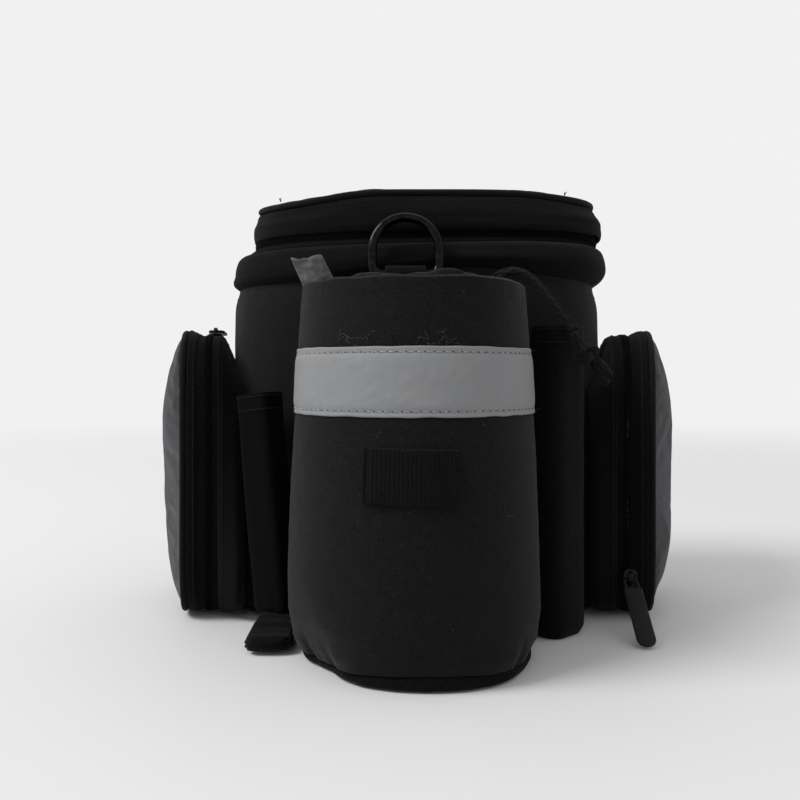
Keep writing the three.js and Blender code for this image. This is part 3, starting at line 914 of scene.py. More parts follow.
def slump(point):
    """The soft top leans: its front left corner sinks, its right side lifts, and its lower seam arches."""
    ahead = 1 - smoothstep(-40, 30, point.y)
    top = smoothstep(180, 196, point.z)
    sunk = 4.2 * smoothstep(15, 66, -point.x) + 1.2 * smoothstep(40, 78, point.x)
    tilt = 2.2 * point.x / 80 * hill(point.z, 170, 12)
    arch = 6.5 * hill(point.x, 20, 50) * hill(point.z, BODY_TOP + 1, 7)
    return point + Vector((0, 0, ahead * (tilt + arch - top * sunk)))


def slumped(line):
    return [(slump(point), normal) for point, normal in line]


def make_body():
    base = [(AXIS, 0), (7, 0), (2, 1), (1, 2.4), (1.4, 3.2), (AXIS, 3.2)]
    rows = turned(BODY, base, radius=1.2, closed=False, spacing=4)
    piece(grid_mesh("base_sewn_panel", rows, planar=(0, 1)), "shell_fabric", "base_panel")

    wall = [(1.2, 3.6), (0, 20), (-0.5, 80), (0, BODY_TOP), (1.4, BODY_TOP), (1.2, 80), (2.4, 3.6)]
    rows = turned(BODY, wall, radius=0.6, columns=260, spacing=2.2, shift=body_folds)
    outside = grid_mesh("body_wall", rows, wrap_rows=True, place=slump)
    piece(outside, "shell_fabric", "body_shell", finish=BODY_CLOTH)

    rows = turned(BODY, [(3, 3.8), (3, BODY_TOP), (4.8, BODY_TOP), (4.8, 3.8)], spacing=5)
    piece(grid_mesh("body_foam_wall", rows, wrap_rows=True), "foam", "body_foam")

    def slack(angle, height, point):
        return -0.5 * abs(wobble((point.x, point.y, point.z * 0.4), 16, 8)) - 0.2 * abs(wobble(point, 5, 9))

    inner = [(AXIS, 5.4), (5.4, 5.4), (5.4, BODY_TOP), (6.2, BODY_TOP), (6.2, 6.2), (AXIS, 6.2)]
    rows = turned(BODY, inner, radius=0.4, closed=False, spacing=3, shift=slack)
    piece(grid_mesh("body_lining_bag", rows), "lining_fabric", "body_lining")

    roll = [(3.0, BODY_TOP - 0.2), (-1.6, 159.2), (-2.2, 165.5), (0.2, 172.4), (4.0, COLLAR_TOP)]
    roll += [(7.4, COLLAR_TOP), (5.2, 167), (7.4, BODY_TOP + 1.2), (7.2, BODY_TOP + 0.2)]
    roll.append((4.4, BODY_TOP - 0.8))

    def on_body(point, inset, height):
        """The collar's foot sits on the body's wall, whose plan is further to the left."""
        return point - (COLLAR.centre - BODY.centre) * (1 - smoothstep(BODY_TOP, 164, height))

    rows = turned(COLLAR, roll, radius=2.4, columns=300, spacing=1.2, shift=collar_folds, settle=on_body)
    collar = grid_mesh("padded_collar", rows, wrap_rows=True, place=slump)
    piece(collar, "shell_fabric", "body_collar")

    seams = [
        slumped(ring_line(COLLAR, 1.2, 172.2, 0.1, collar_folds)),
        slumped(ring_line(BODY, 0.1, 151.2, 0.05, body_folds)),
        ring_line(BODY, 0.7, 7.5, 0.05, body_folds),
    ]
    sew("body_stitching", seams, "shell_fabric", BODY_OF["body_shell"])


# ---- Lid ----


def lid_folds(angle, height, point):
    puckers = wobble((angle * 60, height * 0.3, 0), 3.5, 12) * 0.3 * hill(height, LID_RIM, 5)
    creases = 0.6 * wobble((point.x * 0.35, point.y * 0.35, point.z * 1.3), 9, 13)
    full = 0.8 * (1 + math.cos(angle)) * (1 - smoothstep(188, LID_RIM, height))
    return 0.7 * wobble((point.x, point.y, point.z * 0.5), 22, 11) + creases + puckers + full


def unhinged(plan, half_width):
    """The turns between which a zip runs: all round but for the middle of the rear."""
    edge = math.atan2(plan.rear, half_width)
    return math.pi - edge, TURN + edge


def cord_outline(inset, height, radius):
    """The round outline of a piping's cord, as (inset, height)."""
    return [(inset - radius * math.cos(a), height + radius * math.sin(a)) for a in ring_angles(10)]


HINGE_HALF = 45  # half the length of uncut cloth behind the lid
ZIP_GAP = 0.08  # half the slit between two zip tapes


def make_lid():
    lip = [(0.9, 180.2), (-0.1, 179.9), (-0.7, 182.6), (-0.3, 188)]
    band = [*lip, (2, LID_RIM), (3.6, LID_RIM), (1.9, 187), (1.6, 181.6)]
    rows = turned(LID, band, radius=0.8, columns=300, spacing=1.0, shift=lid_folds)
    piece(grid_mesh("lid_band", rows, wrap_rows=True, place=slump), "shell_fabric", "lid_side_band")

    def twist(angle, height, point):
        return 0.12 * wobble((angle * 80, 0, height), 3, 14)

    rows = turned(LID, cord_outline(3.2, 198.1, 1.5), radius=0.4, columns=300, spacing=0.6, shift=twist)
    piece(grid_mesh("lid_edge_piping", rows, wrap_rows=True, place=slump), "piping", "lid_piping")

    def reach_collar(point, inset, height):
        """The lower tape spreads to the collar's top edge, to which it is sewn."""
        angle = math.atan2(point.y, point.x - COLLAR.centre.x)
        sewn = COLLAR.point(angle, 4.6 + inset, height)
        return point.lerp(sewn, 1 - smoothstep(174.4, 177.2, height))

    start, stop = unhinged(LID, HINGE_HALF)
    line = [(slump(p), n, UP) for p, n in ring_line(LID, 1.1, ZIP_Z, start=start, stop=stop)]
    for half, low, high, settle, phase, reach in (
        ("lower", 174.3, ZIP_Z - ZIP_GAP, reach_collar, 0.0, INNER_TEETH),
        ("upper", ZIP_Z + ZIP_GAP, 181, None, 0.5, OUTER_TEETH),
    ):
        node = "lid_zip_tape_" + half
        outline = [(0.8, low), (0.8, high), (1.8, high), (1.8, low)]
        rows = turned(LID, outline, radius=0.2, spacing=0.6, settle=settle)
        piece(grid_mesh(f"lid_{half}_tape", rows, wrap_rows=True, place=slump), "zip_tape", node)
        zip_teeth(f"lid_{half}_teeth", line, BODY_OF[node], phase, reach)

    seam = slumped(ring_line(LID, 1.7, 194.2, 0.05, lid_folds))
    sew("lid_stitching", [seam], "shell_fabric", BODY_OF["lid_side_band"])

    for name, node, slot, inset, radius, spacing in (
        ("lid_foam_sheet", "lid_foam", "foam", 6.2, 0.8, 5),
        ("lid_lining_panel", "lid_lining", "lining_fabric", 2.9, 0.3, 4),
    ):
        low, high = box(node)
        outline = [(AXIS, low.z), (inset, low.z), (inset, high.z), (AXIS, high.z)]
        rows = turned(LID, outline, radius, closed=False, spacing=spacing)
        piece(grid_mesh(name, rows, place=slump, planar=(0, 1)), slot, node)

    across, along = 84, 56
    edge_z = LID_TOP - 3.6

    def dome(share):
        return edge_z + 3.1 * (1 - share**2.4)

    rows = panel_rows(LID, 3.9, dome, across, along)
    top = grid_mesh("lid_padded_top", rows, wrap_columns=False, place=slump, planar=(0, 1))
    puff(top, 3.5, 3.0, edge_indices(across, along), slack=0.012)
    top = piece(thicken(top, 1.3), "shell_fabric", "lid_top_panel")
    make_lid_hinge()


def bending(thing, moving, start, end):
    """Uncut webbing: fills its open ends, gives it the webbing finish and bakes its transform. moving, start
    and end are not used.
    """
    close_ends(thing)
    thing.data.materials.append(FINISHES["webbing"])
    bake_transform(thing)


def make_lid_hinge():
    low, high = box("lid_hinge_tape")
    bottom, top = ZIP_Z - 4.5, ZIP_Z + 5
    outline = rounded([(low.y, bottom), (low.y, top), (high.y, top), (high.y, bottom)], 0.4, True, 0.6)
    count = 60
    rows = [[Vector((lerp(low.x, high.x, k / count), y, z)) for k in range(count + 1)] for y, z in outline]
    thing = grid_mesh("lid_hinge_cloth", rows, wrap_rows=True, wrap_columns=False)
    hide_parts("lid_hinge_tape")
    middle = Vector(((low.x + high.x) / 2, low.y, (bottom + top) / 2))
    bending(thing, BODY_OF["lid_side_band"], middle - 3.5 * UP, middle + 3.5 * UP)


def close_ends(thing):
    """Fills the open ends of a mesh."""
    layout = bmesh.new()
    layout.from_mesh(thing.data)
    bmesh.ops.holes_fill(layout, edges=[e for e in layout.edges if e.is_boundary], sides=0)
    bmesh.ops.recalc_face_normals(layout, faces=layout.faces)
    layout.to_mesh(thing.data)
    layout.free()
    for polygon in thing.data.polygons:
        polygon.use_smooth = True


# ---- Front sleeve ----

SLEEVE_OUTER = smooth_table(  # the wall's inset from the plan at each height
    [(3, 0.4), (7, -2.2), (18, -4.4), (40, -4.2), (70, -3.0), (98, -1.4), (124, -0.2), (150, 1.6)]
)
SLEEVE_TUCKS = [  # (turn from the front, width, depth) of each tuck at the foot
    (-1.12, 0.05, 1.8), (-0.78, 0.06, 1.3), (-0.3, 0.2, 0.5),
    (0.35, 0.12, 0.6), (0.86, 0.05, 1.5), (1.2, 0.08, 1.2),
]
STRIP_LOW, STRIP_HIGH = (corner.z for corner in box("reflective_strip"))


def lopsided(ahead):
    """The sleeve's foot bulges right of the front and is drawn in left of it."""
    return 3.0 * hill(ahead, 0.62, 0.42) - 4.6 * hill(ahead, -0.95, 0.34)


def sleeve_folds(angle, height, point):
    """Tucks where the base is sewn in, slack panels, and dents under the strip's seams."""
    ahead = angle_gap(angle, -math.pi / 2)
    low = 1 - smoothstep(4, 17, height)
    tucks = sum(depth * hill(ahead, at, width) for at, width, depth in SLEEVE_TUCKS)
    foot = 1 - smoothstep(6, 34, height)
    shape = foot * lopsided(ahead) - 0.9 * math.cos(angle)
    slack = 0.75 * wobble((point.x * 0.8, point.y, point.z * 0.45), 30, 21) + shape
    crease = 0.35 * wobble((point.x, point.y, point.z * 1.6), 9, 22) * (0.5 + low)
    dents = -0.4 * (hill(height, STRIP_LOW + 1.5, 2.2) + hill(height, STRIP_HIGH - 1.5, 2.2))
    pucker = 0.12 * wobble((angle * 45, height * 0.2, 5), 2.4, 23) * hill(height, HEM_LOW, 4)
    return slack + crease - tucks * low + dents + pucker


def against_body(point, layer):
    """Keeps the sleeve in front of the body's wall."""
    limit = BODY.front_at(point.x) - 1.5 - layer
    return Vector((point.x, min(point.y, limit), point.z)) if abs(point.x) < BODY.half_x else point


def sleeve_settle(point, inset, height):
    """The wall's foot rises in front, above the bulge of the base, and its back lies against the body."""
    middle = hill(point.x, SLEEVE.centre.x + 3, 26) * (1 - smoothstep(-120, -100, point.y))
    lift = 2.0 * middle * smoothstep(1.2, 4, height) * (1 - smoothstep(7, 24, height))
    return against_body(point + Vector((0, 0, lift)), min(2.6, max(0.0, inset - SLEEVE_OUTER(height))))


def on_sleeve(angle, height, out):
    """(point, outward normal) on the sleeve's wall, that far out from it."""
    point = SLEEVE.point(angle, SLEEVE_OUTER(height), height)
    normal = SLEEVE.outward(angle)
    return point + normal * (out + sleeve_folds(angle, height, point)), normal


def sleeve_band(name, start, stop, low, high, out, thick, columns, rows_count, relief):
    """A thin piece that lies on the sleeve between two turns and two heights, as one closed mesh."""
    rows = []
    front = [(0, j / rows_count) for j in range(rows_count + 1)]
    back = [(1, 1 - j / 6) for j in range(7)]
    for layer, share in [*front, *back]:
        row = []
        for k, angle in enumerate(turns_between(start, stop, columns)):
            z = lerp(low(angle), high(angle), share)
            point = SLEEVE.point(angle, SLEEVE_OUTER(z), z)
            edge = min(k, columns - k) / columns * abs(stop - start) * SLEEVE.front
            margin = min(edge, min(share, 1 - share) * (high(angle) - low(angle)))
            soft = min(1.0, margin / 0.5 + 0.35)
            lift = out + (0 if layer else thick * soft) + sleeve_folds(angle, z, point)
            if not layer:
                lift += relief(edge if k < columns / 2 else -edge, share, angle)
            row.append(point + SLEEVE.outward(angle) * lift)
        rows.append(row)
    thing = grid_mesh(name, rows, wrap_rows=True, wrap_columns=False)
    close_ends(thing)
    return thing


def turn_at(x, height):
    """The turn at which the sleeve's front outline has that X."""
    low, high = -math.pi, 0.0
    for _ in range(40):
        middle = (low + high) / 2
        if SLEEVE.point(middle, SLEEVE_OUTER(height), height).x < x:
            low = middle
        else:
            high = middle
    return (low + high) / 2


def make_sleeve():
    outside = [(SLEEVE_OUTER(z), z) for z in (4.2, 9, 20, 40, 60, 80, 98, 112, 124, 134)]
    hem_inset = SLEEVE_OUTER(HEM_LOW)
    wall = [(0.2, 4.0), *outside, (hem_inset, HEM_LOW), (4.2, HEM_LOW), (2.4, 124), (-1.2, 60), (2.0, 5.4)]
    rows = turned(SLEEVE, wall, 0.15, columns=300, spacing=1.6, shift=sleeve_folds, settle=sleeve_settle)
    piece(grid_mesh("sleeve_wall", rows, wrap_rows=True), "shell_fabric", "sleeve_shell", finish=SLEEVE_CLOTH)

    def sag(angle, height, point):
        ahead = angle_gap(angle, -math.pi / 2)
        edge = smoothstep(25, 46, math.hypot(point.x - SLEEVE.centre.x, point.y - SLEEVE_Y))
        ripple = 0.5 * wobble((angle * 20, 0, height), 4, 31)
        return edge * (0.6 + 0.9 * hill(ahead, 0.1, 0.6) + ripple + lopsided(ahead))

    base = [(AXIS, 0.05), (4, 0.05), (1.2, 0.9), (0.7, 2.4), (1.6, 3.9), (AXIS, 3.9)]
    rows = turned(SLEEVE, base, 1.0, closed=False, spacing=2.0, shift=sag, settle=sleeve_settle)
    piece(grid_mesh("sleeve_sewn_base", rows, planar=(0, 1)), "shell_fabric", "sleeve_base")

    def hem_shift(angle, height, point):
        puckers = 0.07 * wobble((angle * 45, height * 0.3, 9), 2.2, 24)
        return sleeve_folds(angle, height, point) + puckers

    def hem_settle(point, inset, height):
        wave = 0.8 * wobble((point.x, point.y, 0), 14, 25) * smoothstep(HEM_LOW, SLEEVE_TOP, height)
        return sleeve_settle(point + Vector((0, 0, wave)), inset, height)

    low_inset, top_inset = SLEEVE_OUTER(HEM_LOW), SLEEVE_OUTER(SLEEVE_TOP)
    band = [(low_inset, HEM_LOW), (top_inset, SLEEVE_TOP - 1), (3.0, SLEEVE_TOP), (4.0, HEM_LOW)]
    rows = turned(SLEEVE, band, 0.15, columns=360, spacing=0.8, shift=hem_shift, settle=hem_settle)
    hem = grid_mesh("sleeve_top_hem", rows, wrap_rows=True)
    piece(hem, "shell_fabric", "sleeve_hem", finish=SLEEVE_CLOTH)
    make_mouth()
    make_strip()
    make_loop_patch()


def make_mouth():
    """The thin gathered cloth inside the rim, with its crumpled corner on the left."""

    def crumple(angle, height, point):
        coarse = 0.9 * wobble((angle * 50, height, 0), 3.4, 41)
        return smoothstep(144, 151, height) * (coarse + 0.6 * wobble((angle * 50, height, 3), 1.6, 42))

    def rise(point, inset, height):
        angle = math.atan2(point.y - SLEEVE_Y, point.x - SLEEVE.centre.x)
        ahead = angle_gap(angle, -math.pi / 2)
        peaks = 2.2 * hill(ahead, 0.28, 0.2) + 1.2 * hill(ahead, -0.5, 0.16)
        peaks += 0.7 * wobble((angle * 46, 0, 0), 5, 43)
        lifted = point + Vector((0, 0, max(-0.6, peaks) * smoothstep(145, 150, height)))
        return against_body(lifted, 4.4)

    profile = [(4.6, 142.6), (4.5, 147.5), (6, 150.4), (10, 150.6)]
    profile += [(10.8, 149.4), (6.6, 148.6), (5.3, 146), (5.4, 142.6)]
    rows = turned(SLEEVE, profile, 1.0, columns=420, spacing=0.8, shift=crumple, settle=rise)
    mouth = grid_mesh("gathered_mouth_cloth", rows, wrap_rows=True)
    piece(mouth, "lining_fabric", "sleeve_gathered_mouth", finish=MOUTH_CLOTH)
    make_mouth_corner()


def make_mouth_corner():
    """A stiff crumpled corner of the mouth's cloth that stands up and leans out over the rim."""
    corners = [Vector(p) for p in ((-46.5, -95, 147), (-32, -86, 147), (-41, -90, 163.4), (-53.4, -93, 162))]
    count = 26
    rows = []
    for j in range(count + 1):
        t = j / count
        left, right = corners[0].lerp(corners[3], t), corners[1].lerp(corners[2], t)
        row = []
        for i in range(count + 1):
            s = i / count
            point = left.lerp(right, s)
            crumple = 1.3 * wobble(point, 4.5, 45) + 0.5 * wobble(point, 2, 46)
            fold = 1.5 * math.sin(6.5 * s + 2.6 * t) * t + crumple
            row.append(point + Vector((0.2 * fold, -fold, 0.4 * fold * t)))
        rows.append(row)
    corner = thicken(grid_mesh("mouth_corner", rows, wrap_columns=False), 0.5)
    piece(corner, "lining_fabric", "sleeve_gathered_mouth", finish=PALE_CLOTH)


def make_strip():
    """Reflective tape round the front, sewn along both edges and caught in the side seams."""
    wrapped = 0.08  # how far the ends pass the widest part of the sleeve
    start, stop = -math.pi - wrapped, wrapped

    def low(angle):
        return STRIP_LOW + 0.25 * wobble((angle * 40, 0, 0), 6, 51)

    def high(angle):
        return STRIP_HIGH + 0.25 * wobble((angle * 40, 9, 0), 6, 52)

    def sewn(edge, share, angle):
        rows = hill(share, 0.085, 0.03) + hill(share, 0.915, 0.03)
        bubbles = 0.12 * wobble((angle * 47, share * 25, 0), 3, 53)
        return bubbles - rows * 0.16

    band = sleeve_band("reflective_tape_strip", start, stop, low, high, 0.35, 0.5, 320, 60, sewn)
    piece(band, "reflective_tape", "reflective_strip")
    inner = 0.012
    pitch = 3.4
    angles = turns_between(start + inner, stop - inner, 300)
    lines = [[on_sleeve(a, z, 0.72) for a in angles] for z in (STRIP_LOW + 2.1, STRIP_HIGH - 2.1)]
    sew("strip_stitching", lines, "reflective_tape", "bag", pitch, 2.7, 0.17, GREY_THREAD)
    holes = []
    for line in lines:
        for path, normal in stitch_rows(line, pitch, 3.3, 0.12):
            holes.append(([path[0] - normal * 0.02, path[0] + (path[1] - path[0]) * 0.75], normal))
    piece(tube_set("strip_needle_holes", holes, 0.24), "shell_fabric", body="bag", finish=THREAD)


def make_loop_patch():
    """A loop of ribbed webbing that lies flat on the sleeve, sewn at both ends."""
    lowest, highest = box("light_loop_webbing")
    low_z, high_z = lowest.z, highest.z
    start, stop = turn_at(lowest.x, 78), turn_at(highest.x, 78)

    def tilt(angle):
        return 0.7 * (angle - start) / (stop - start)

    def low(angle):
        return low_z - tilt(angle) + 0.12 * wobble((angle * 40, 3, 0), 4, 55)

    def high(angle):
        return high_z + 0.1 - tilt(angle) + 0.12 * wobble((angle * 40, 6, 0), 4, 56)

    def ribs(edge, share, angle):
        rib = abs(math.sin(math.pi * (angle - start) * SLEEVE.front / 1.45))
        sewn = hill(abs(edge), 2.2, 0.7)
        return 0.22 * (rib - 0.6) - 0.5 * sewn

    band = sleeve_band("light_loop", start, stop, low, high, 0.4, 1.5, 240, 40, ribs)
    piece(band, "webbing", "light_loop_webbing", finish=LOOP_CLOTH)
    inner = 2.2 / SLEEVE.front
    heights = [lerp(low_z + 0.6, high_z - 1.2, k / 59) for k in range(60)]
    lines = [[on_sleeve(angle, z, 1.45) for z in heights] for angle in (start + inner, stop - inner)]
    sew("light_loop_stitching", lines, "webbing", "bag", pitch=1.8, length=1.5, radius=0.2)


# ---- D-ring and its tab ----


def make_ring():
    low, high = box("d_ring")
    joint = Vector(JOINTS["d_ring_swing"]["pos_m"]) / MM
    lean = Matrix.Rotation(math.radians(-8), 3, "X")
    wire = 2.1  # the wire's radius
    below, above = 11.5, 14.9  # the outline's reach below and above its widest line
    outline = Plan((0, 0), (high.x - low.x) / 2 - wire, below, above, 6, 2)
    line = []
    for angle in ring_angles(220):
        flat = outline.point(angle, 0, 0)
        line.append(joint + lean @ Vector((flat.x, 0, flat.y + below)))
    depth = lean @ REAR
    rows = []
    for k, point in enumerate(line):
        ahead = (line[(k + 1) % len(line)] - line[k - 1]).normalized()
        side = ahead.cross(depth)
        rows.append([point + (side * math.cos(a) + depth * math.sin(a)) * wire for a in ring_angles(28)])
    piece(grid_mesh("d_ring_wire", rows, wrap_rows=True), "gunmetal", "d_ring")
    make_ring_tab(joint)


def make_ring_tab(joint):
    """A doubled strip of webbing: round the ring's bar, then down to the body's wall and sewn."""
    low, high = box("d_ring_tab")
    half = (high.x - low.x) / 2
    thick = 1.3
    bend = 3.4
    middle = [(joint.y + 7.0, 151.0), (joint.y + 3.5, 151.6)]
    for k in range(15):
        angle = math.radians(-62 - k * 17)
        middle.append((joint.y + bend * math.cos(angle), joint.z + bend * math.sin(angle)))
    middle += [(joint.y + 4.2, 153.9), (joint.y + 7.0, 153.4)]
    path = [Vector((joint.x, y, z)) for y, z in middle]
    rows = closed_tube(curve_through(path, 0.5), flat_section(half, thick / 2, 0.35, 0.7))
    # painted shade: the tab wears the darker webbing copy for the shadow under the ring
    piece(grid_mesh("d_ring_webbing", rows), "webbing", "d_ring_tab", finish=TAB_WEBBING_PAINTED_SHADE)


# ---- Side pockets ----


def pocket_place(side):
    """From the pocket's own (depth, height, outward) to the bag, mirrored on the left."""
    c, s = math.cos(POCKET_TOE), math.sin(POCKET_TOE)

    def place(p):
        x = POCKET_X + p.z * c + p.x * s
        y = POCKET_Y - p.z * s + p.x * c
        return Vector((side * x, y, POCKET.front + p.y))

    return place


def beside_body(place, side):
    """As place, but no deeper than the body's wall."""

    def clear(p):
        point = place(p)
        layer = min(CLOTH_GAP, max(0.0, p.z + POCKET_DEEP))
        wall = BODY.side_at(point.y) + CLOTH_GAP + layer if point.z < BODY_TOP + 2 else 0
        return Vector((side * max(side * point.x, wall), point.y, point.z))

    return clear


def pocket_line(place, inset, height, start=0.0, stop=TURN, shift=None):
    """(point, outward normal, across) round a pocket."""
    line = []
    for angle in turns_between(start, stop, 420):
        flat = POCKET.point(angle, inset, height)
        normal = POCKET.outward(angle)
        if shift:
            flat = flat + normal * shift(angle, height, flat)
        here = place(flat)
        out = (place(flat + normal) - here).normalized()
        line.append((here, out, (place(flat + Vector((0, 0, 1))) - here).normalized()))
    return line


def make_side_pocket(name, side):
    place = pocket_place(side)
    seed = 60 + 10 * side

    def gusset(angle, height, point):
        puckers = 0.25 * wobble((angle * 55, height * 0.4, seed), 3, 61)
        return 0.55 * wobble((point.x, point.y, point.z + seed), 20, 62) + puckers - 0.3

    def depth_share(height):
        return min(1.0, max(0.0, (-height - POCKET_LIP) / POCKET_TAPER))

    def tray_shift(angle, height, point):
        """Slack cloth, drawn in a little towards the body. The middle of the floor stays where it is."""
        slack = 0.6 * wobble((point.x, point.y, point.z + seed), 15, 63)
        return min(1.0, math.hypot(point.x, point.y) / 12) * (slack - 1.2 * depth_share(height) - 0.2)

    floor = -14.4
    tray = [(AXIS, -POCKET_DEEP), (3, -POCKET_DEEP), (0, -13), (0, -POCKET_LIP)]
    tray += [(2.0, -POCKET_LIP), (4.8, floor), (AXIS, floor)]
    rows = turned(POCKET, tray, 1.2, columns=220, spacing=2.0, closed=False, shift=tray_shift)
    forward = 9 if side < 0 else 4  # the inner half's foot is squeezed towards the front
    settled = beside_body(place, side)

    def squeezed(p):
        """The inner half is lower and narrower towards the body, most of all at its top."""
        deep = depth_share(p.z)
        foot = (1 - smoothstep(-62, 10, p.y)) * (1 - smoothstep(-40, 20, p.x))
        top = max(0.0, p.y / POCKET.front) ** 2
        return settled(p - deep * Vector((forward * foot + 0.2 * p.x * top, 20 * top, 0)))

    tray_mesh = grid_mesh(name + "_inner_shell", rows, place=squeezed, mirrored=side < 0)
    piece(tray_mesh, "shell_fabric", name + "_inner_half")

    run = math.atan2(POCKET.front * 0.6, POCKET.half_x * 0.98)
    for half, low, high, phase, reach in (
        ("inner", -5.3, -ZIP_GAP, 0.0, INNER_TEETH),
        ("outer", ZIP_GAP, 5.4, 0.5, OUTER_TEETH),
    ):
        node = f"{name}_zip_tape_{half}"
        rows = turned(POCKET, [(1.3, low), (1.3, high), (2.3, high), (2.3, low)], 0.2, columns=220, spacing=1)
        tape = grid_mesh(f"{name}_{half}_tape", rows, wrap_rows=True, place=place, mirrored=side < 0)
        piece(tape, "zip_tape", node)
        line = pocket_line(place, 1.4, 0, start=run, stop=TURN - run)
        zip_teeth(f"{name}_{half}_teeth", line, BODY_OF[node], phase, reach)

    def perked(p):
        """The cover stands a little higher than the zip at its top."""
        return place(p + Vector((0, 1.8 * smoothstep(25, 67, p.y) * smoothstep(4.5, 9, p.z), 0)))

    rim = [(0.6, 4.9), (0.4, 9.4), (3.0, 9.6), (3.6, 8.0), (3.4, 4.9)]
    rows = turned(POCKET, rim, 0.6, columns=260, spacing=0.9, shift=gusset)
    band = grid_mesh(name + "_gusset", rows, wrap_rows=True, place=perked, mirrored=side < 0)
    piece(band, "shell_fabric", name + "_cover")

    bead = cord_outline(1.9, 11.2, 1.35)
    rows = turned(POCKET, bead, 0.3, columns=300, spacing=0.6, shift=lambda a, h, p: 0.3 * gusset(a, h, p))
    edge = grid_mesh(name + "_edge_piping", rows, wrap_rows=True, place=perked, mirrored=side < 0)
    piece(edge, "piping", name + "_piping")
    make_pocket_face(name, side, perked)

    for half, body, where, inset, height, shift in (
        ("cover", BODY_OF[name + "_cover"], perked, 0.55, 6.4, gusset),
        ("inner", "bag", squeezed, 0.0, -6.6, tray_shift),
    ):
        seam = [(p, n) for p, n, _ in pocket_line(where, inset, height, shift=shift)]
        sew(f"{name}_{half}_stitching", [seam], "shell_fabric", body)
    make_pocket_hinge(name, side, place)


def make_pocket_face(name, side, place):
    """The padded outer face: a cloth panel puffed out between its piped edges."""
    across, along = 44, 64
    full = 8.8 if side > 0 else 7.2  # how far the middle stands out
    rows = panel_rows(POCKET, 2.6, lambda share: 12 + full * (1 - share**3.6), across, along)
    for row in rows:
        for point in row:
            sagging = 1.4 * point.y / POCKET.front if side < 0 else 0  # the left face is fullest at its top
            inner = 1 - max(abs(point.x) / POCKET.half_x, abs(point.y) / POCKET.front)
            dents = 0.9 * wobble((point.x, point.y, 40 + side * 20), 26, 66)
            point.z += (sagging + dents) * min(1, 5 * inner)
    mesh_name = name + "_padded_face"
    face = grid_mesh(mesh_name, rows, wrap_columns=False, place=place, mirrored=side < 0, planar=(0, 1))
    face_towards(face, place(UP) - place(Vector()))
    puff(face, 3.0, 4.0, edge_indices(across, along))
    face = thicken(face, 2.6)
    piece(face, "shell_fabric", name + "_cover", finish=FACE_CLOTH)


def make_pocket_hinge(name, side, place):
    """Uncut cloth behind the pocket, along the line where the cover opens."""
    half, count = 34, 40
    back = POCKET.half_x
    profile = rounded([(0.2, -5.2), (0.2, 5.2), (-0.7, 5.2), (-0.7, -5.2)], 0.2, True, 0.7)
    rows = []
    for out, height in profile:
        heights = [lerp(-half, half, k / count) for k in range(count + 1)]
        rows.append([Vector((back - 0.4 - out, along, height)) for along in heights])
    mesh_name = name + "_hinge_cloth"
    cloth = grid_mesh(mesh_name, rows, wrap_rows=True, wrap_columns=False, place=place, mirrored=side < 0)
    start, end = place(Vector((back, 0, -3.2))), place(Vector((back, 0, 3.2)))
    bending(cloth, BODY_OF[name + "_cover"], start, end)


# ---- Zip sliders and pullers ----


def plate(name, outline, layers):
    """A flat moulding: the outline at several (inset, height) layers, closed at both faces."""
    count = len(outline)
    centre = sum((Vector((x, 0, z)) for x, z in outline), Vector()) / count
    rows = []
    for inset, height in layers:
        row = []
        for k in range(count):
            before, here, after = (Vector(outline[(k + d) % count]) for d in (-1, 0, 1))
            along = (after - before).normalized()
            inward = Vector((-along.y, along.x))
            moved = here + inward * inset
            row.append(Vector((moved.x, height, moved.y)))
        rows.append(row)
    caps = [[Vector((centre.x, height, centre.z))] * count for height in (layers[0][1], layers[-1][1])]
    return grid_mesh(name, [caps[0], *rows, caps[1]])


def capsule_outline(half, top, bottom):
    """A blade with a square top and a round tip, anticlockwise from above right."""
    round_from = bottom + half
    points = [(half, top), (half * 0.86, top + 0.5), (-half * 0.86, top + 0.5), (-half, top)]
    points += [(-half, lerp(top, round_from, k / 8)) for k in range(1, 8)]
    for k in range(11):
        angle = math.pi + math.pi * k / 10
        points.append((half * math.cos(angle), round_from + half * math.sin(angle)))
    return points + [(half, lerp(round_from, top, k / 8)) for k in range(1, 8)]


def signed_power(value, power):
    return math.copysign(abs(value) ** power, value)


def slider_mesh(name):
    """A coil-zip slider facing -Y, its zip along Z: a waisted plate, a bridge and a domed back."""
    outline = []
    for angle in ring_angles(36):
        waist = 3.7 - 0.7 * hill(math.sin(angle), -0.6, 0.5)
        outline.append((waist * signed_power(math.cos(angle), 0.6), 5.0 * signed_power(math.sin(angle), 0.7)))
    top = plate(name + "_top", outline, [(0.5, 0.0), (0.1, -0.15), (0.0, -0.6), (0.25, -1.1), (0.8, -1.4)])
    narrow = [(x * 0.45, z) for x, z in outline]
    under = plate(name + "_under", narrow, [(0.6, 1.5), (0.1, 1.3), (0.0, 1.0), (0.4, 0.7)])
    arch = [(-1.0, 3.4), (-2.6, 3.1), (-3.7, 1.6), (-3.8, -0.6), (-2.7, -2.7), (-1.0, -3.2)]
    line = curve_through([(0, y, z) for y, z in arch], 0.3)
    bridge = grid_mesh(name + "_bridge", closed_tube(line, flat_section(0.95, 0.42, 0.3, 0.5), up=FRONT))
    return join(name, [top, under, bridge])


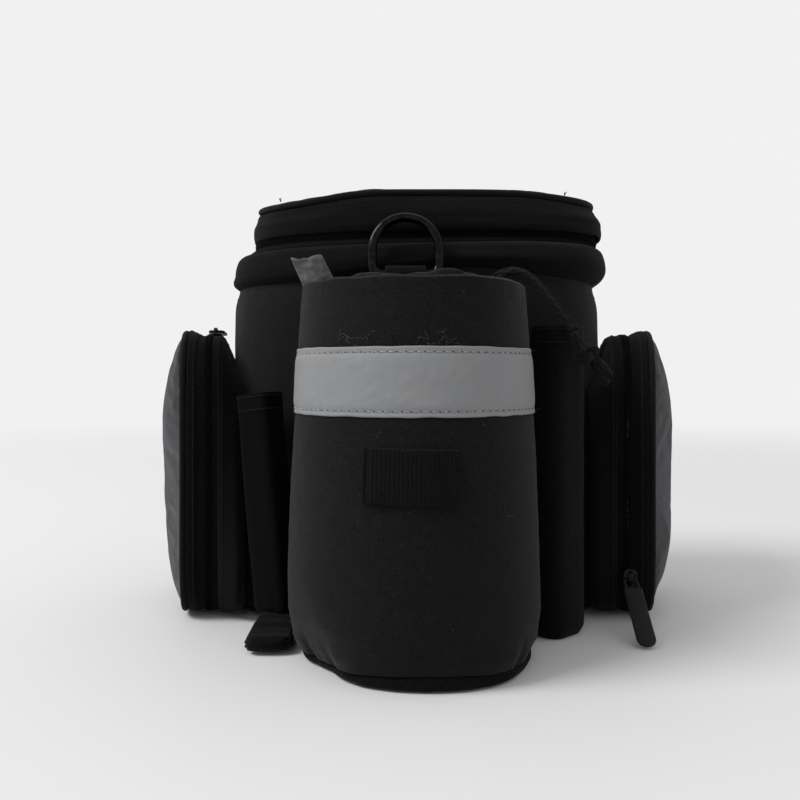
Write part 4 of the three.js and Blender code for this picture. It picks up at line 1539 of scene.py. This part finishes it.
def puller_mesh(name, length, half):
    """A flat moulded blade hanging from its crossbar at the origin, with a rim and a neck window."""
    blade = capsule_outline(half, -6.2, -length)
    edge = [(0.55, 0.7), (0.15, 0.6), (0.0, 0.35)]
    parts = [plate(name + "_blade", blade, edge + [(inset, -depth) for inset, depth in reversed(edge)])]
    wires = [("_arm", 0.62, [(x * 0.8, 0), (x, -1.2), (x, -4), (x, -7)]) for x in (1.25 - half, half - 1.25)]
    wires.append(("_bar", 0.55, [(1.3 - half, 0), (0, 0), (half - 1.3, 0)]))
    for kind, radius, line in wires:
        path = curve_through([(x, 0, z) for x, z in line], 0.5)
        parts.append(grid_mesh(name + kind, closed_tube(path, round_section(radius, 12), up=REAR)))
    return join(name, parts)


def make_pull(name, travel, swing, yaw=0.0):
    """A slider and its puller, placed by the axes of their two joints. yaw turns the blade askew."""
    slide, hinge = JOINTS[travel], JOINTS[swing]
    pivot = Vector(hinge["pos_m"]) / MM
    across = -Vector(hinge["axis"])
    low, high = box(name + "_puller")
    hangs = ((low + high) / 2 - pivot).normalized()
    zip_line = Vector(slide["axis"])
    if zip_line.dot(hangs) > 0:
        zip_line = -zip_line
    out = zip_line.cross(across)
    base = pivot + out * 2.4
    slider = slider_mesh(name + "_slider_body")
    slider.data.transform(Matrix.Translation(base * MM) @ axes(across, out, zip_line))
    piece(slider, "gunmetal", name + "_slider")
    down = (hangs - across * hangs.dot(across)).normalized()
    puller = puller_mesh(name + "_puller_blade", 39.6, 4.0)
    loose = Matrix.Rotation(math.radians(yaw), 4, "Y")
    puller.data.transform(Matrix.Translation(pivot * MM) @ axes(across, (-down).cross(across), -down) @ loose)
    piece(puller, "puller_rubber", name + "_puller")


def axes(x, y, z):
    return Matrix((x, y, z)).transposed().to_4x4()


# ---- Slim open pockets on the front corners, and the folded tab below the left one ----


def slim_cup(name, node, plan, place, top, wall, seed, finish=None):
    def folds(angle, height, point):
        slack = 0.5 * wobble((point.x, point.y, point.z * 0.4), 13, seed)
        return slack + 0.25 * wobble(point, 4, seed + 1) * hill(height, 4, 8) - 0.15

    outside = [(AXIS, 0), (2.4, 0), (0.1, 3.6), (0.0, top / 2), (0.4, top - 9), (0.2, top - 8.4), (0.2, top)]
    inside = [(0.4 + wall, top), (wall, 4), (wall + 1, wall), (AXIS, wall)]
    rows = turned(plan, [*outside, *inside], 0.6, columns=120, spacing=1.6, closed=False, shift=folds)
    piece(grid_mesh(name, rows, place=place), "shell_fabric", node, finish=finish)
    lines = []
    for height in (top - 7.2, top - 1.4):
        line = []
        for angle in turns_between(0, TURN, 160):
            point = plan.point(angle, 0.2, height)
            normal = plan.outward(angle)
            moved = point + normal * (folds(angle, height, point) + 0.05)
            here = place(moved)
            line.append((here, (place(moved + normal) - here).normalized()))
        lines.append(line)
    sew(name + "_stitching", lines, "shell_fabric", "bag", pitch=2.3, length=1.8, radius=0.18)


def make_slim_pockets():
    turn = Matrix.Rotation(math.radians(45), 3, "Z")
    low, high = box("right_slim_pocket")
    base = Vector(((low.x + high.x) / 2, (low.y + high.y) / 2, low.z))
    plan = Plan((0, 0), 12.5, 9, 9, 3, 3)
    slim_cup("right_slim_cup", "right_slim_pocket", plan, lambda p: base + turn @ p, high.z - low.z, 1.4, 71)

    lean = (
        Matrix.Rotation(math.radians(-5.5), 3, "Y")
        @ Matrix.Rotation(math.radians(-3.5), 3, "X")
        @ Matrix.Rotation(math.radians(-36), 3, "Z")
    )
    foot = Vector((-61.5, -72, 9))
    plan = Plan((0, 0), 9.8, 6.8, 6.8, 5, 5)
    # the left cup wears the darker copy of the cloth: painted shade
    slim_cup("left_slim_cup", "left_slim_pocket", plan, lambda p: foot + lean @ p, 97, 1.2, 73, SLIM_CLOTH_PAINTED_SHADE)


def make_corner_tab():
    """Webbing folded flat on itself at the foot of the left corner."""
    low, high = box("left_corner_tab")
    middle, half, rise = (low.x + high.x) / 2, (high.x - low.x) / 2, (high.z - low.z) / 2
    layered = []
    for angle in ring_angles(72):
        x, y = signed_power(math.cos(angle), 0.45), signed_power(math.sin(angle), 0.6)
        groove = 0.7 * smoothstep(0.8, 1, abs(x)) * (0.5 + 0.5 * math.cos(3.5 * math.pi * y))
        layered.append((x * (half - groove), y))

    def section(share, length):
        """Four layers of webbing, pressed together towards the fold."""
        tall = rise * (0.72 + 0.28 * math.sin(math.pi * min(1.0, share * 1.4)))
        return [(x, y * tall * (1 + 0.05 * math.sin(length * 0.9))) for x, y in layered]

    path = [
        (middle + 3, high.y + 7, low.z + rise + 5.5),
        (middle + 1.5, high.y, low.z + rise + 2.4),
        (middle, lerp(high.y, low.y, 0.5), low.z + rise + 0.4),
        (middle, low.y + 0.5, low.z + rise),
    ]
    rows = closed_tube(curve_through(path, 0.6), section)
    # the corner tab wears the same darker webbing copy that paints the shade under the ring
    piece(grid_mesh("corner_webbing", rows), "webbing", "left_corner_tab", finish=TAB_WEBBING_PAINTED_SHADE)


# ---- Rear: quilted panel and belt loops ----


def make_rear():
    low, high = box("rear_panel")
    half, middle = (high.x - low.x) / 2, (high.z + low.z) / 2
    plan = Plan((0, 0), half, (high.z - low.z) / 2, (high.z - low.z) / 2, 9, 9)
    across, along = 62, 70
    channels = [-half / 3, half / 3]

    def place(p):
        return Vector((p.x, low.y + 1.2 + p.z, middle + p.y))

    def dome(share):
        return 1.4 * (1 - share**6) - 2 * smoothstep(0.965, 1, share)

    rows = panel_rows(plan, 0.4, dome, across, along)
    for row in rows:
        for point in row:
            valley = max(hill(point.x, at, 1.6) for at in channels)
            point.z -= 1.0 * valley
    panel = grid_mesh("rear_quilted_panel", rows, wrap_columns=False, place=place, planar=(0, 1))
    face_towards(panel, REAR)
    sewn = set(edge_indices(across, along))
    for i, point in enumerate(p for row in rows for p in row):
        if min(abs(point.x - at) for at in channels) < 1.1:
            sewn.add(i)
    puff(panel, 4.0, 2.2, sorted(sewn))
    panel = piece(thicken(panel, 1.1), "shell_fabric", "rear_panel")

    lines = []
    for at in channels:
        heights = [lerp(low.z + 4, high.z - 4, k / 200) for k in range(201)]
        lines.append([(Vector((at, low.y + 1.25, z)), REAR) for z in heights])
    edge = []
    for angle in turns_between(0, TURN, 480):
        flat = plan.point(angle, 2.2, 0)
        edge.append((Vector((flat.x, low.y + 1.9, middle + flat.y)), REAR))
    sew("rear_stitching", [*lines, edge], "shell_fabric", "bag", pitch=3.0, length=2.3)
    for node in ("belt_loop_left", "belt_loop_right"):
        make_belt_loop(node)


def make_belt_loop(node):
    """25 mm webbing that stands off between two sewn ends, each sewn in a box with a cross."""
    low, high = box(node)
    back = low.y + 1.0
    out = high.y - 0.95
    rise = [(back, 0.4), (back, 4), (back + 0.1, 8.5)]
    rise += [(lerp(back, out, 0.6), 12), (out - 0.15, 16), (out, 24)]
    path = [(y, low.z + z) for y, z in rise] + [(y, high.z - z) for y, z in reversed(rise)]
    half, middle = (high.x - low.x) / 2, (high.x + low.x) / 2
    section = flat_section(half, 0.85, 0.35, 0.6)
    line = curve_through([(middle, y, z) for y, z in path], 0.7)
    rows = closed_tube(line, section, up=REAR)
    piece(grid_mesh(node + "_webbing", rows), "webbing", node)

    lines = []
    for bottom, top in ((low.z + 1.5, low.z + 7), (high.z - 7, high.z - 1.5)):
        ends = [(-half + 2, bottom), (half - 2, bottom), (half - 2, top), (-half + 2, top)]
        legs = [(ends[k], ends[(k + 1) % 4]) for k in range(4)] + [(ends[0], ends[2]), (ends[1], ends[3])]
        for a, b in legs:
            flat = [Vector(a).lerp(Vector(b), t / 20) for t in range(21)]
            lines.append([(Vector((middle + p.x, back + 0.95, p.y)), REAR) for p in flat])
    sew(node + "_stitching", lines, "webbing", "bag", pitch=1.9, length=1.6, radius=0.2)


# ---- Loose fibres: thread ends at the seams, and hairs caught on the cloth ----


def thread_ends(name, feet, body):
    """Three cut ends of thread that stand out from a seam at each (foot, lift)."""
    nubs = []
    for foot, lift in feet:
        foot, lift = Vector(foot), Vector(lift)
        for k in range(3):
            lean = Vector((0.25 * math.sin(4 * k), 0.2 * math.cos(5 * k), 0.2 * math.sin(7 * k)))
            nubs.append(([foot, foot + lift * 0.5 + lean, foot + lift + lean * 2], FRONT))
    piece(tube_set(name, nubs, 0.16, sides=5), "shell_fabric", body=body, finish=THREAD)


def make_fibres():
    lid_feet = [
        ((-64.5, -40, 195.6), (-0.5, -0.2, 1.6)),
        ((69.5, -42, 198.2), (0.6, -0.3, 1.4)),
    ]
    strip_feet = [
        ((-49.9, -96, STRIP_HIGH - 0.4), (-1.6, -1.2, -0.8)),
        ((-51.4, -96, STRIP_LOW + 0.6), (-1.8, -1.0, 1.0)),
        ((46.4, -96, STRIP_HIGH - 0.8), (1.5, -1.4, 0.7)),
        ((47.8, -96, STRIP_LOW + 0.5), (1.7, -1.2, 0.6)),
    ]
    thread_ends("lid_thread_ends", lid_feet, BODY_OF["lid_side_band"])
    thread_ends("strip_thread_ends", strip_feet, "bag")

    hairs = [make_hair(-31 + 1.05 * k + 18 * (k > 11), STRIP_HIGH + 2.2, k) for k in range(24)]
    strays = ((-6, 66), (24, 93.5), (-14, 95.6), (30, 60))
    hairs += [make_hair(x, z, seed) for seed, (x, z) in enumerate(strays, 30)]
    piece(tube_set("caught_hairs", hairs, 0.024, sides=5), "shell_fabric", body="bag", finish=HAIR)


def make_hair(x, z, seed):
    """One fine hair that wanders over the sleeve's cloth."""
    angle = turn_at(x, z)
    normal = SLEEVE.outward(angle)
    side = Vector((-normal.y, normal.x, 0))
    here = SLEEVE.point(angle, SLEEVE_OUTER(z), z + 1.8 * math.sin(seed * 2.7))
    heading = seed * 1.9
    path = []
    for k in range(9):
        heading += 0.42 * math.sin(seed * 3.1 + k * 0.8)
        here = here + (side * math.cos(heading) + Vector((0, 0, 0.7 * math.sin(heading)))) * 0.55
        path.append(here + normal * (sleeve_folds(angle, z, here) + 0.4 + 0.35 * math.sin(k + seed)))
    return path, normal


# ---- Stage and light ----

FLOOR_REACH = 4.0  # metres
PALE = 0.88


def make_floor():
    """A pale floor that fades into the backdrop's brightness with distance."""
    mesh = bpy.data.meshes.new("studio_floor")
    layout = bmesh.new()
    bmesh.ops.create_circle(layout, cap_ends=True, segments=96, radius=FLOOR_REACH)
    layout.to_mesh(mesh)
    layout.free()
    floor = make_object("studio_floor", mesh)
    floor.location.z = -0.0002
    f = Finish("studio_floor", Roughness=0.6, Specular_IOR_Level=0.2)
    f.shader.inputs["Base Color"].default_value = (0.56, 0.56, 0.562, 1)
    glow = f.add("Emission", Color=(1, 1, 1, 1), Strength=PALE)
    away = f.add("VectorMath")
    away.operation = "LENGTH"
    f.feed(away.inputs[0], f.where)
    share = f.ramp(away.outputs["Value"], 0.35, 1.9)
    mixed = f.add("MixShader", Fac=share)
    f.tree.links.new(f.shader.outputs[0], mixed.inputs[1])
    f.tree.links.new(glow.outputs[0], mixed.inputs[2])
    output = next(n for n in f.tree.nodes if n.type == "OUTPUT_MATERIAL")
    f.tree.links.new(mixed.outputs[0], output.inputs["Surface"])
    mesh.materials.append(f.material)


def make_key_light():
    """A soft light high on the left and a little in front."""
    data = bpy.data.lights.new("key", "AREA")
    data.shape = "DISK"
    data.size = 1.5
    data.energy = 100.0
    light = bpy.data.objects.new("key", data)
    light.location = (-2.15, -0.95, 2.45)
    aim = Vector((0, -0.03, 0.1))
    light.rotation_euler = (aim - light.location).to_track_quat("-Z", "Y").to_euler()
    bpy.context.scene.collection.objects.link(light)


def make_studio():
    make_floor()
    make_key_light()
    world = bpy.data.worlds.new("studio")
    world.use_nodes = True
    backdrop = world.node_tree.nodes["Background"]
    backdrop.inputs["Color"].default_value = (PALE, PALE, PALE * 1.005, 1)
    backdrop.inputs["Strength"].default_value = 1.0
    bpy.context.scene.world = world
    bpy.context.scene.view_settings.view_transform = "Standard"


make_body()
make_lid()
make_sleeve()
make_ring()
make_side_pocket("right_pocket", 1)
make_side_pocket("left_pocket", -1)
make_pull("right_pocket", "right_slider_travel", "right_puller_swing", yaw=-5)
make_pull("left_pocket", "left_slider_travel", "left_puller_swing")
make_pull("lid", "lid_slider_travel", "lid_puller_swing")
make_slim_pockets()
make_corner_tab()
make_rear()
make_fibres()
make_studio()
base_board = bpy.data.objects[frame["nodes"]["base_board"].name]
base_board.data.materials.clear()
base_board.data.materials.append(FINISHES["base_board"])
